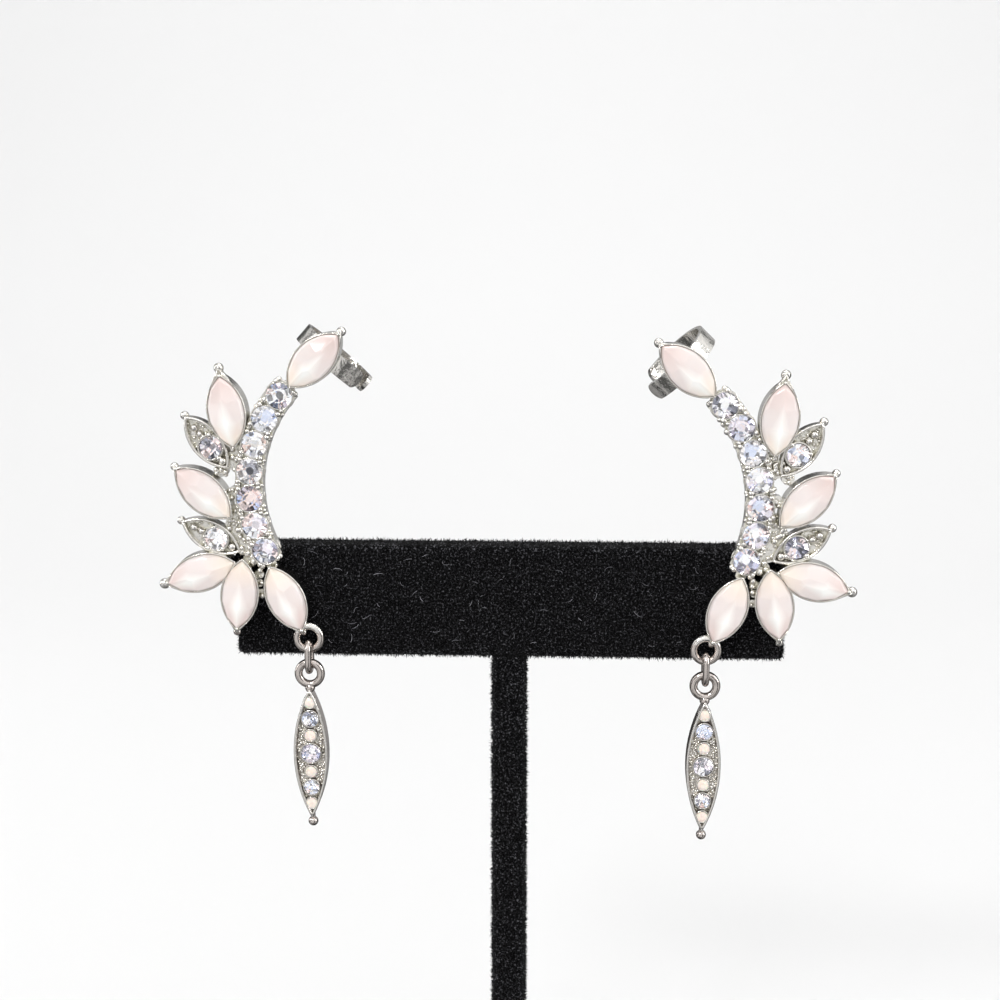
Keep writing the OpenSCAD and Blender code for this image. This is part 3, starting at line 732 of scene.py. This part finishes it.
def sampled(name, count, rng):
    """Random points on a CAD solid's skin, with the direction straight out at each, and
    the area of the skin."""
    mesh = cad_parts[name].data
    mesh.calc_loop_triangles()
    tris = points_of(name)[np.array([t.vertices[:] for t in mesh.loop_triangles])]
    cross = np.cross(tris[:, 1] - tris[:, 0], tris[:, 2] - tris[:, 0])
    area = np.linalg.norm(cross, axis=1)
    pick = rng.choice(len(tris), size=count, p=area / area.sum())
    a, b = rng.random((2, count, 1))
    over = (a + b) > 1
    a, b = np.where(over, 1 - a, a), np.where(over, 1 - b, b)
    chosen = tris[pick]
    points = chosen[:, 0] + a * (chosen[:, 1] - chosen[:, 0]) + b * (chosen[:, 2] - chosen[:, 0])
    return points, cross[pick] / area[pick][:, None], area.sum() / 2


def strewn(name, density, rng):
    """Random points over a CAD solid's whole skin, so many on a square millimetre, with
    the direction straight out at each."""
    area = sampled(name, 1, rng)[2]
    return sampled(name, int(area / MM**2 * density), rng)[:2]


def floor_spots(name, low_y, high_y, density, rng):
    """Random spots on a CAD solid's faces that look to the front between two depths."""
    points, outs = strewn(name, density, rng)
    return points[(outs[:, 1] < -0.95) & (points[:, 1] > low_y) & (points[:, 1] < high_y)]


def on_leaves(side, spots):
    """Which of many spots lie on a leaf's floor, and not on one of the stones' pockets."""
    found = np.zeros(len(spots), bool)
    for leaf in LEAVES:
        x, z, along_x, along_z = LEAF_PLACES[side, leaf]
        along = np.array([along_x, along_z]) / math.hypot(along_x, along_z)
        off = spots[:, [0, 2]] - np.array([x, z]) * MM
        aside = off[:, 0] * along[1] - off[:, 1] * along[0]
        found |= (np.abs(off @ along) < 0.45 * LEAF_LONG) & (np.abs(aside) < 0.4 * LEAF_WIDE)
    return found


def granules(name, spots, sizes, body):
    """Small beads of metal at many spots, joined in one mesh."""
    bm = bmesh.new()
    bmesh.ops.create_icosphere(bm, subdivisions=2, radius=0.5)
    ball = np.array([v.co[:] for v in bm.verts])
    faces = [[v.index for v in f.verts] for f in bm.faces]
    bm.free()
    joined(name, spots[:, None, :] + ball[None] * sizes[:, None, None], faces, body, "bright")


class CLIMBER_OT_frames(bpy.types.Operator):
    """Builds the two plated frames, with their lips, gallery wires and beading"""

    bl_idname = "climber.frames"
    bl_label = "Frames"

    def execute(self, context):
        metal = context.scene.climber_metal
        for side in SIDES:
            self.casting(side)
            self.cup_lips(side, metal)
            rng = np.random.default_rng(500 + len(side))
            self.seat_lips(side, metal, rng)
            spots = floor_spots(f"{side}_frame", *WEB_FLOOR, rng)
            self.beading(f"{side}_web_granules", spots, metal.grain, rng)
            spots = floor_spots(f"{side}_frame", *LEAF_FLOOR, rng)
            self.beading(f"{side}_leaf_granules", spots[on_leaves(side, spots)], metal.fine_grain, rng)
        return {"FINISHED"}

    def casting(self, side):
        """The CAD frame: its ring worn, its back and the post behind the bar sandy."""
        bm = merged_copy(f"{side}_frame")
        ring_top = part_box(f"{side}_link")[1].z + 0.9 * MM
        bar_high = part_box("display_bar")[1]
        for face in bm.faces:
            spot = face.calc_center_median()
            on_post = spot.y > bar_high.y and spot.z < bar_high.z
            face.material_index = 2 if on_post or face.normal.y > 0.9 else spot.z < ring_top
        finishes = ["cast", "wire", "sandy"]
        add_piece(f"{side}_frame_casting", bm, "stand", finishes, [f"{side}_frame"])

    def cup_lips(self, side, metal):
        """The cups' rolled lips with their peaks and claws, and the leaves' raised edges."""
        bm = bmesh.new()
        for stone in LONG_STONES:
            place, long, wide, _, _ = long_place(side, stone)
            pointed_wire(bm, place, long, wide, LIP_OUT, metal.cup_lip, LIP_HIGH)
            peak(bm, place, long, wide, LIP_OUT, BALL_REACH[stone], metal.cup_lip, LIP_HIGH)
            bead(bm, place @ Vector((long / 2 + 0.08 * MM, 0, 0.04 * MM)), metal.claw)
        for leaf in LEAVES:
            place = leaf_place(side, leaf)
            pointed_wire(bm, place, LEAF_LONG, LEAF_WIDE, -0.16 * MM, metal.leaf_lip, LIP_HIGH)
        bmesh.ops.recalc_face_normals(bm, faces=bm.faces)
        add_piece(f"{side}_cup_lips", bm, "stand", ["bright"])

    def seat_lips(self, side, metal, rng):
        """The crystals' lips, gallery wires and prongs, and the large beads beside them."""
        bm = bmesh.new()
        middles = spine_middles(side)
        girdle = BACK_Y - SPINE_HIGH
        for k, middle in enumerate(middles):
            radius = radius_of(f"{side}_crystal_{k + 1}")
            ring_wire(bm, middle, radius + 0.1 * MM, metal.seat_lip, girdle)
            ring_wire(bm, middle, radius + 0.2 * MM, metal.gallery_wire, BACK_Y - 0.5 * SPINE_HIGH)
            line = middles[min(k + 1, 6)] - middles[max(k - 1, 0)]
            straight = math.atan2(line.z, line.x)
            for turn in PRONG_TURNS:
                way = Vector((math.cos(straight + turn), 0, math.sin(straight + turn)))
                spot = middle + way * (radius + 0.26 * MM)
                size = metal.prong * rng.uniform(0.85, 1.1)
                bead(bm, Vector((spot.x, girdle - 0.16 * MM, spot.z)), size)
            # A smaller bead in each notch between two seats
            for way in (1, -1) if k < 6 else ():
                along = (middles[k + 1] - middle).normalized()
                notch = (middle + middles[k + 1]) / 2
                notch += along.cross(FRONT) * way * (radius - 0.02 * MM)
                bead(bm, Vector((notch.x, girdle + 0.05 * MM, notch.z)), 0.8 * metal.prong)
        along = (middles[6] - middles[5]).normalized()
        aside = along.cross(FRONT)
        aside *= math.copysign(1, aside.dot(middle_of(f"{side}_opal_outer") - middles[6]))
        for forth, out, size in LAST_BEADS:
            spot = middles[6] + along * forth * MM + aside * out * MM
            bead(bm, Vector((spot.x, LAST_BEADS_Y, spot.z)), size * MM)
        for leaf in LEAVES:
            name = f"{side}_leaf_crystal_{leaf}"
            middle = middle_of(name)
            ring_wire(bm, middle, radius_of(name) + 0.14 * MM, metal.seat_lip, BACK_Y - LEAF_HIGH)
            for reach, share in LEAF_BEADS:
                spot = middle + leaf_way(side, leaf) * reach
                spot.y = BACK_Y - LEAF_HIGH + 0.2 * MM
                bead(bm, spot, share * metal.leaf_bead, 3)
        add_piece(f"{side}_seat_lips", bm, "stand", ["bright"])

    def beading(self, name, spots, size, rng):
        """Granules of mixed sizes, most of them small."""
        sizes = size * (0.5 + 0.85 * rng.random(len(spots)) ** 1.5)
        granules(name, spots, sizes, "stand")


class CLIMBER_OT_long_stones(bpy.types.Operator):
    """Cuts the six long milky stones of each climber"""

    bl_idname = "climber.long_stones"
    bl_label = "Long stones"

    def execute(self, context):
        edge = context.scene.climber_stones.edge
        for number, side in enumerate(SIDES):
            for count, stone in enumerate(LONG_STONES):
                bm = self.cut(side, stone, edge, np.random.default_rng(100 * number + count))
                name, nodes = f"{side}_stone_{stone}", [f"{side}_opal_{stone}"]
                add_piece(name, bm, "stand", ["milk"], nodes)
        return {"FINISHED"}

    def cut(self, side, stone, edge, rng):
        """One stone, cut by its tiers of facets from an upright pointed oval."""
        place, long, wide, rise, depth = long_place(side, stone)
        bm = bmesh.new()
        top = bmesh.ops.extrude_face_region(bm, geom=[pointed_face(bm, long, wide, -depth)])["geom"]
        bmesh.ops.translate(bm, vec=(0, 0, depth + rise), verts=verts_of(top))
        radius, off, half = pointed(long, wide)
        for shares, slope, start in TIERS:
            tilt = math.radians(slope)
            reach = radius if start == 0 else radius - 0.24 * wide
            for way in (-1, 1):
                for share in shares:
                    normal = Vector((math.sin(share * half), math.cos(share * half), 0))
                    point = Vector((0, -off, 0)) + normal * reach
                    point.z = start * rise
                    facing = Vector((
                        normal.x * math.sin(tilt), normal.y * math.sin(tilt), math.cos(tilt),
                    ))
                    if way < 0:
                        point.y, facing.y = -point.y, -facing.y
                    cut_off(bm, point, facing)
        number_facets(bm, rng)
        crown = [e for e in bm.edges if min(v.co.z for v in e.verts) > -1e-6]
        bmesh.ops.bevel(
            bm, geom=crown, offset=edge, offset_type="OFFSET", segments=4, profile=0.5, affect="EDGES",
            clamp_overlap=True, material=-1,
        )
        outward(bm)
        # How far each corner lies along the stone, across it and down it, for its colours and its painted
        # glow
        along, aside, down = (bm.verts.layers.float.new(key) for key in ("along", "aside", "down"))
        fall = place.to_3x3().inverted() @ Vector((0, 0, -1))
        for vert in bm.verts:
            vert[along] = vert.co.x / long * 2
            vert[aside] = vert.co.y / wide * 2 - 0.25 * fall.y
            vert[down] = vert[along] * math.copysign(1, fall.x)
        bmesh.ops.transform(bm, matrix=place, verts=bm.verts)
        return bm


def brilliant(bm, place, radius, rise, depth, rng, foiled=True):
    """A round stone: a crown of flat facets round a table over a pointed back, cut from
    a short cylinder whose girdle lies on z = 0. A foiled one has its second finish behind."""
    stone = bmesh.new()
    bmesh.ops.create_cone(
        stone, cap_ends=True, segments=32, radius1=radius, radius2=radius, depth=rise + depth,
        matrix=Matrix.Translation((0, 0, (rise - depth) / 2)),
    )
    step = 2 * math.pi / MAINS
    crown = math.atan2(rise * 0.92, radius * (1 - TABLE))
    for k in range(MAINS):
        for shift, tilt, reach, level in (
            (0.0, crown, radius, 0.02 * radius),
            (0.25, crown + 0.14, radius, 0.015 * radius),
            (0.75, crown + 0.14, radius, 0.015 * radius),
            (0.5, crown - 0.18, radius * 0.66, rise * 0.9),
        ):
            turn = (k + shift) * step
            out = Vector((math.cos(turn), math.sin(turn), 0))
            facing = out * math.sin(tilt) + Vector((0, 0, math.cos(tilt)))
            cut_off(stone, out * reach + Vector((0, 0, level)), facing)
        # One facet of the back, every second one a little steeper
        turn = (k + 0.5) * step
        out = Vector((math.cos(turn), math.sin(turn), 0))
        tilt = 0.74 + 0.04 * (k % 2)
        facing = out * math.sin(tilt) - Vector((0, 0, math.cos(tilt)))
        cut_off(stone, out * radius - Vector((0, 0, 0.02 * radius)), facing)
    number_facets(stone, rng)
    for face in stone.faces:
        face.material_index = foiled and face.calc_center_median().z < -0.04 * radius
    outward(stone)
    bmesh.ops.transform(stone, matrix=place, verts=stone.verts)
    scratch = mesh_of("stone", stone)
    bm.from_mesh(scratch)
    bpy.data.meshes.remove(scratch)


def facing_front(middle, y, rng):
    """A place that faces the front at a middle, turned and leaning a little at random."""
    place = front_place((middle.x, y, middle.z))
    place @= Matrix.Rotation(rng.normal(0, 0.035), 4, "X") @ Matrix.Rotation(rng.normal(0, 0.035), 4, "Y")
    return place @ Matrix.Rotation(rng.random() * math.pi, 4, "Z")


class CLIMBER_OT_crystals(bpy.types.Operator):
    """Cuts the round crystals of the spines and leaves"""

    bl_idname = "climber.crystals"
    bl_label = "Round crystals"

    def execute(self, context):
        for number, side in enumerate(SIDES):
            names = [f"{side}_crystal_{k}" for k in SPINE] + [f"{side}_leaf_crystal_{p}" for p in LEAVES]
            for count, name in enumerate(names):
                rng = np.random.default_rng(1000 + 100 * number + count)
                low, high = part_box(name)
                radius = radius_of(name)
                rise = CRYSTAL_RISE * 2 * radius
                girdle = low.y + rise
                bm = bmesh.new()
                place = facing_front(middle_of(name), girdle, rng)
                brilliant(bm, place, radius, rise, high.y - girdle, rng)
                piece = name.replace("crystal", "cut_crystal")
                add_piece(piece, bm, "stand", ["glass", "foil"], [name], smooth=False)
        return {"FINISHED"}


class CLIMBER_OT_links(bpy.types.Operator):
    """Bends the links that carry the drops"""

    bl_idname = "climber.links"
    bl_label = "Links"

    def execute(self, context):
        for side in SIDES:
            low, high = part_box(f"{side}_link")
            wire = high.x - low.x
            bend = (high.y - low.y - wire) / 2
            straight = (high.z - low.z) - wire - 2 * bend
            # Own plane: x forward, y up
            place = placed((0, -1, 0), (0, 0, 1), (-1, 0, 0), (low + high) / 2)
            start = place @ front_place((bend, -straight / 2, 0))
            turned = place.to_3x3()
            bm = bmesh.new()
            ring = bmesh.ops.create_circle(bm, segments=16, radius=wire / 2, matrix=start)["verts"]
            geom = list({e for v in ring for e in v.link_edges})
            for way in (1, -1):
                ends = pulled(bm, edges_of(geom), turned @ Vector((0, way * straight, 0)))
                geom = bmesh.ops.spin(
                    bm, geom=ends, cent=place @ Vector((0, way * straight / 2, 0)),
                    axis=turned @ Vector((0, 0, 1)), angle=math.pi, steps=20,
                )["geom_last"]
            outward(bm)
            add_piece(f"{side}_link_wire", bm, f"{side}_link", ["wire"], [f"{side}_link"])
        return {"FINISHED"}


def stones_in(points):
    """The middle and radius of each of the stones that stand in a column in one node."""
    order = points[np.argsort(points[:, 2])]
    found = []
    for part in np.split(order, np.flatnonzero(np.diff(order[:, 2]) > 0.75 * MM) + 1):
        low, high = part.min(0), part.max(0)
        found.append((Vector((low + high) / 2), float(high[2] - low[2]) / 2))
    return found


class CLIMBER_OT_drops(bpy.types.Operator):
    """Builds the hanging drops with their rims, grained floors and small stones"""

    bl_idname = "climber.drops"
    bl_label = "Drops"

    def execute(self, context):
        for number, side in enumerate(SIDES):
            body = f"{side}_drop"
            self.casting(body)
            self.trim(body, context.scene.climber_metal)
            for kind, finishes, share, slot in (
                ("opals", ["peach"], DROP_OPAL_RISE, "small_opal"),
                ("crystals", ["glass", "foil"], DROP_CRYSTAL_RISE, "clear_crystal"),
            ):
                bm = bmesh.new()
                points = points_of(f"{body}_{kind}")
                for count, (middle, radius) in enumerate(stones_in(points)):
                    rng = np.random.default_rng(3000 + 100 * number + count)
                    rise = share * 2 * radius
                    near = points[np.abs(points[:, 2] - middle.z) < radius * 1.01]
                    girdle = near[:, 1].min() + rise
                    depth = near[:, 1].max() - girdle
                    place = facing_front(middle, girdle, rng)
                    brilliant(bm, place, radius, rise, depth, rng, "foil" in finishes)
                name, nodes = f"{body}_cut_{kind}", [f"{body}_{kind}"]
                add_piece(name, bm, body, finishes, nodes, smooth=False)
        return {"FINISHED"}

    def casting(self, body):
        """The CAD body, with its floor and its back left sandy."""
        bm = merged_copy(body)
        floor_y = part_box(body)[1].y - DROP_FLOOR[0]
        for face in bm.faces:
            depth = face.calc_center_median().y
            floor = face.normal.y < -0.9 and floor_y < depth < floor_y + 0.1 * MM
            face.material_index = floor or face.normal.y > 0.9
        add_piece(f"{body}_casting", bm, body, ["wire", "sandy"], [body])

    def trim(self, body, metal):
        """The rolled rim, the collars round the stones and the grain of the floor."""
        low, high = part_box(body)
        rim_y = high.y - DROP_THICK
        middle = ((low.x + high.x) / 2, rim_y, low.z + DROP_BALL + DROP_LONG / 2)
        place = placed((0, 0, 1), (-1, 0, 0), (0, -1, 0), middle)
        bm = bmesh.new()
        pointed_wire(bm, place, DROP_LONG, DROP_WIDE, -0.18 * MM, 0.38 * MM, -0.05 * MM, 40)
        for kind in ("crystals", "opals"):
            for middle, radius in stones_in(points_of(f"{body}_{kind}")):
                ring_wire(bm, middle, radius + 0.1 * MM, 0.18 * MM, rim_y + 0.1 * MM, 28)
        add_piece(f"{body}_trim", bm, body, ["bright"])
        rng = np.random.default_rng(900)
        depths = [high.y - far for far in DROP_FLOOR]
        spots = floor_spots(body, *depths, DROP_GRAINS, rng)
        sizes = metal.fine_grain * rng.uniform(0.6, 1.25, len(spots))
        granules(f"{body}_granules", spots, sizes, body)


class CLIMBER_OT_clutches(bpy.types.Operator):
    """Turns the clutches behind the bar"""

    bl_idname = "climber.clutches"
    bl_label = "Clutches"

    def execute(self, context):
        for side in SIDES:
            low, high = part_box(f"{side}_clutch")
            middle = (low + high) / 2
            radius, thick = (high.x - low.x) / 2, high.y - low.y
            hole = 0.47 * MM
            # Half section: hole, rounded front disc, waist, smaller rear collar
            section = [
                (hole, 0.0), (radius * 0.94, 0.0), (radius, 0.06 * thick), (radius, 0.16 * thick),
                (radius * 0.94, 0.24 * thick), (radius * 0.6, 0.3 * thick), (radius * 0.52, 0.45 * thick),
                (radius * 0.56, 0.62 * thick), (radius * 0.66, 0.72 * thick), (radius * 0.66, 0.92 * thick),
                (radius * 0.58, thick), (hole, thick),
            ]
            bm = bmesh.new()
            verts = [bm.verts.new((middle.x + r, low.y + y, middle.z)) for r, y in section]
            edges = [bm.edges.new(pair) for pair in zip(verts, verts[1:] + verts[:1])]
            bmesh.ops.spin(
                bm, geom=verts + edges, cent=(middle.x, 0, middle.z), axis=(0, 1, 0), angle=2 * math.pi,
                steps=48, use_merge=True,
            )
            outward(bm)
            add_piece(f"{side}_turned_clutch", bm, "stand", ["wire"], [f"{side}_clutch"])
        return {"FINISHED"}


class CLIMBER_OT_stand(bpy.types.Operator):
    """Covers the stand in velvet, with its pile and loose lint"""

    bl_idname = "climber.stand"
    bl_label = "Velvet stand"

    def execute(self, context):
        velvet = context.scene.climber_velvet
        for seed, part in enumerate(("bar", "pole", "base")):
            name = f"display_{part}"
            cover = merged_copy(name, math.radians(50))
            add_piece(f"{part}_velvet", cover, "stand", ["velvet"], [name])
            self.pile(name, part, velvet, np.random.default_rng(20 + seed))
        self.fibres(velvet, np.random.default_rng(77))
        return {"FINISHED"}

    def pile(self, name, part, velvet, rng):
        """Thousands of short leaning tufts on a covered board, joined in one mesh."""
        roots, outs = strewn(name, velvet.density, rng)
        kept = roots[:, 2] > PILE_FROM[part]
        roots, outs = roots[kept], outs[kept]
        count = len(roots)
        lean = rng.normal(0, 0.55, (count, 3)) + np.array([0.1, 0, -0.35])
        way = outs + lean
        way /= np.linalg.norm(way, axis=1)[:, None]
        flat = np.cross(way, rng.normal(0, 1, (count, 3)))
        flat /= np.linalg.norm(flat, axis=1)[:, None]
        tall = velvet.pile * rng.uniform(0.45, 1.15, (count, 1))
        half = velvet.strand * rng.uniform(0.25, 0.7, (count, 1))
        bend = rng.normal(0, 0.3, (count, 3)) * tall
        mid = roots + way * tall * 0.55
        tip = roots + way * tall + bend * 0.6
        corners = np.stack([
            roots - flat * half, roots + flat * half, mid + flat * half * 0.8, mid - flat * half * 0.8, tip,
        ], axis=1)
        tuft = [[0, 1, 2, 3], [3, 2, 4]]
        piece = joined(f"{part}_pile", corners, tuft, "stand", "pile", False)
        # Each tuft's lightness is random, and rises from root to end as a painted highlight
        lighten(piece, np.repeat(rng.random(count), 5) * np.tile([0.55, 0.55, 0.9, 0.9, 1.0], count))

    def fibres(self, velvet, rng):
        """Loose curled fibres on the front and back of the bar, joined in one mesh. They are
        0.04 mm thick, twice as thick as real lint, so that they show."""
        low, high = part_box("display_bar")
        count, steps, sides, wire = velvet.lint, 9, 4, 0.02 * MM
        front = rng.random(count) < 0.7
        lift = rng.uniform(0.05, 0.22, count) * MM
        middle = np.stack([
            rng.uniform(low.x + 2 * MM, high.x - 2 * MM, count),
            np.where(front, low.y - lift, high.y + lift),
            rng.uniform(low.z + MM, high.z - MM, count),
        ], axis=1)
        radius = rng.uniform(0.4, 1.8, count) * MM
        start, sweep = rng.uniform(0, 6.28, count), rng.uniform(0.5, 1.5, count) * MM / radius
        turns = start[:, None] + sweep[:, None] * np.linspace(0, 1, steps)
        out = np.stack([np.cos(turns), np.zeros_like(turns), np.sin(turns)], axis=-1)
        line = middle[:, None] + (out - out[:, :1]) * radius[:, None, None]
        line[..., 1] += 0.12 * MM * np.sin(turns * 3)
        corners = np.stack([
            line + wire * (math.cos(a) * out + math.sin(a) * np.array([0, 1, 0]))
            for a in np.arange(sides) * 2 * math.pi / sides
        ], axis=2).reshape(count, steps * sides, 3)
        rings = np.arange(steps * sides).reshape(steps, sides).tolist()
        around = [
            [near[c], near[(c + 1) % sides], far[(c + 1) % sides], far[c]]
            for near, far in zip(rings, rings[1:]) for c in range(sides)
        ]
        ends = [rings[0][::-1], rings[-1]]
        piece = joined("bar_lint", corners, around + ends, "stand", "pile")
        lighten(piece, np.repeat(rng.uniform(0.86, 1.0, count), steps * sides))


def aim(obj, place, target):
    """Puts a lamp or camera at a place and points it at a target."""
    obj.location = place
    obj.rotation_euler = (Vector(target) - Vector(place)).to_track_quat("-Z", "Y").to_euler()
    bpy.context.scene.collection.objects.link(obj)


class CLIMBER_OT_stage(bpy.types.Operator):
    """Sets the floor, the soft lights and the camera"""

    bl_idname = "climber.stage"
    bl_label = "Stage"

    def execute(self, context):
        self.paper(context.scene)
        for name, place, target, size, power in LAMPS:
            lamp = bpy.data.lights.new(name, "AREA")
            lamp.shape = "RECTANGLE"
            lamp.size, lamp.size_y = size
            lamp.energy = power
            aim(bpy.data.objects.new(name, lamp), place, target)
        self.room(context.scene)
        context.scene.view_settings.view_transform = "Standard"
        self.camera(context.scene)
        return {"FINISHED"}

    def paper(self, scene):
        """A floor of paper that sweeps up behind the object."""
        half, front, curve, radius, high = PAPER
        bm = bmesh.new()
        edge = bm.edges.new([bm.verts.new((x, front, 0)) for x in (-half, half)])
        ends = pulled(bm, [edge], (0, curve - front, 0))
        swept = bmesh.ops.spin(
            bm, geom=ends, cent=(0, curve, radius), axis=(1, 0, 0), angle=math.pi / 2, steps=24,
        )["geom_last"]
        pulled(bm, edges_of(swept), (0, 0, high))
        bmesh.ops.remove_doubles(bm, verts=bm.verts, dist=1e-6)
        mesh = mesh_of("backdrop", bm)
        mesh.polygons.foreach_set("use_smooth", [True] * len(mesh.polygons))
        mesh.materials.append(finish("paper"))
        backdrop = bpy.data.objects.new("backdrop", mesh)
        scene.collection.objects.link(backdrop)
        # The paper lights the scene but isn't mirrored, so that the metal shows the room
        backdrop.visible_glossy = False

    def room(self, scene):
        """The room that the metal mirrors, light above and dark behind, with pale cards."""
        scene.world = bpy.data.worlds.new("studio")
        scene.world.use_nodes = True
        tree = scene.world.node_tree
        way = node(tree, "TexCoord").outputs["Generated"]
        part = node(tree, "SeparateXYZ", {"Vector": way}).outputs
        height = {"Value": part["Z"], "From Min": -0.7, "From Max": 0.5}
        up = node(tree, "MapRange", {**height, "To Min": 0.42, "To Max": 1.25})
        edge = node(tree, "MapRange", {
            "Value": part["Y"], "From Min": -0.2, "From Max": 0.6, "To Min": 1.0, "To Max": 0.45,
        })
        turned = node(tree, "VectorMath", {0: way, 1: (9.3, 4.4, 6.6)}, operation="ADD")
        cards = node(tree, "TexNoise", {"Vector": turned, "Scale": 2.4, "Detail": 1.0})
        patch = node(tree, "MapRange", {
            "Value": cards, "From Min": 0.42, "From Max": 0.52, "To Min": 0.18, "To Max": 1.25,
        })
        level = node(tree, "Math", {0: up, 1: patch}, operation="MULTIPLY")
        mirrored = node(tree, "Math", {0: level, 1: edge}, operation="MULTIPLY")
        # Matt surfaces get an even light from above, as through a white tent, and past the
        # paper the camera sees the same tent, a little brighter
        soft = node(tree, "MapRange", {**height, "To Min": 0.38, "To Max": 0.76})
        ray = node(tree, "LightPath").outputs
        even = node(tree, "Math", {0: ray["Is Diffuse Ray"], 1: ray["Is Camera Ray"]}, operation="ADD")
        pale = node(tree, "Math", {0: ray["Is Camera Ray"], 1: 0.35, 2: soft}, operation="MULTIPLY_ADD")
        total = node(tree, "Mix", {0: even, 2: mirrored, 3: pale}, data_type="FLOAT")
        shine = tree.nodes["Background"]
        shine.inputs["Color"].default_value = linear("#F6F6F6")
        tree.links.new(total.outputs[0], shine.inputs["Strength"])

    def camera(self, scene):
        """The camera, a little above and to the right of straight on."""
        stage = scene.climber_stage
        view = bpy.data.cameras.new("camera")
        view.sensor_width = 36.0
        view.lens = stage.lens
        view.clip_start = 0.005
        view.clip_end = 10.0
        level = math.cos(stage.elevation) * stage.distance
        place = TARGET + Vector((
            level * math.sin(stage.swing), -level * math.cos(stage.swing),
            math.sin(stage.elevation) * stage.distance,
        ))
        scene.camera = bpy.data.objects.new("camera", view)
        aim(scene.camera, place, TARGET)


class CLIMBER_PT_panel(bpy.types.Panel):
    """Lists the pieces and the settings of the ear climbers"""

    bl_idname = "CLIMBER_PT_panel"
    bl_label = "Ear climbers"
    bl_space_type = "VIEW_3D"
    bl_region_type = "UI"
    bl_category = "Ear climbers"

    def draw(self, context):
        for group in SETTINGS:
            box = self.layout.box()
            settings = getattr(context.scene, group)
            for key in settings.__annotations__:
                box.prop(settings, key)
        for operator in OPERATORS:
            self.layout.operator(operator.bl_idname)


SETTINGS = {
    "climber_metal": MetalSettings,
    "climber_stones": StoneSettings,
    "climber_velvet": VelvetSettings,
    "climber_stage": StageSettings,
}
OPERATORS = (
    CLIMBER_OT_stand,
    CLIMBER_OT_frames,
    CLIMBER_OT_long_stones,
    CLIMBER_OT_crystals,
    CLIMBER_OT_links,
    CLIMBER_OT_drops,
    CLIMBER_OT_clutches,
    CLIMBER_OT_stage,
)
CLASSES = (*SETTINGS.values(), *OPERATORS, CLIMBER_PT_panel)


def register():
    for kind in CLASSES:
        bpy.utils.register_class(kind)
    for name, kind in SETTINGS.items():
        setattr(bpy.types.Scene, name, PointerProperty(type=kind))


def unregister():
    for name in SETTINGS:
        delattr(bpy.types.Scene, name)
    for kind in reversed(CLASSES):
        bpy.utils.unregister_class(kind)


def main():
    register()
    bpy.ops.climber.stand()
    bpy.ops.climber.frames()
    bpy.ops.climber.long_stones()
    bpy.ops.climber.crystals()
    bpy.ops.climber.links()
    bpy.ops.climber.drops()
    bpy.ops.climber.clutches()
    bpy.ops.climber.stage()


if __name__ == "__main__":
    main()
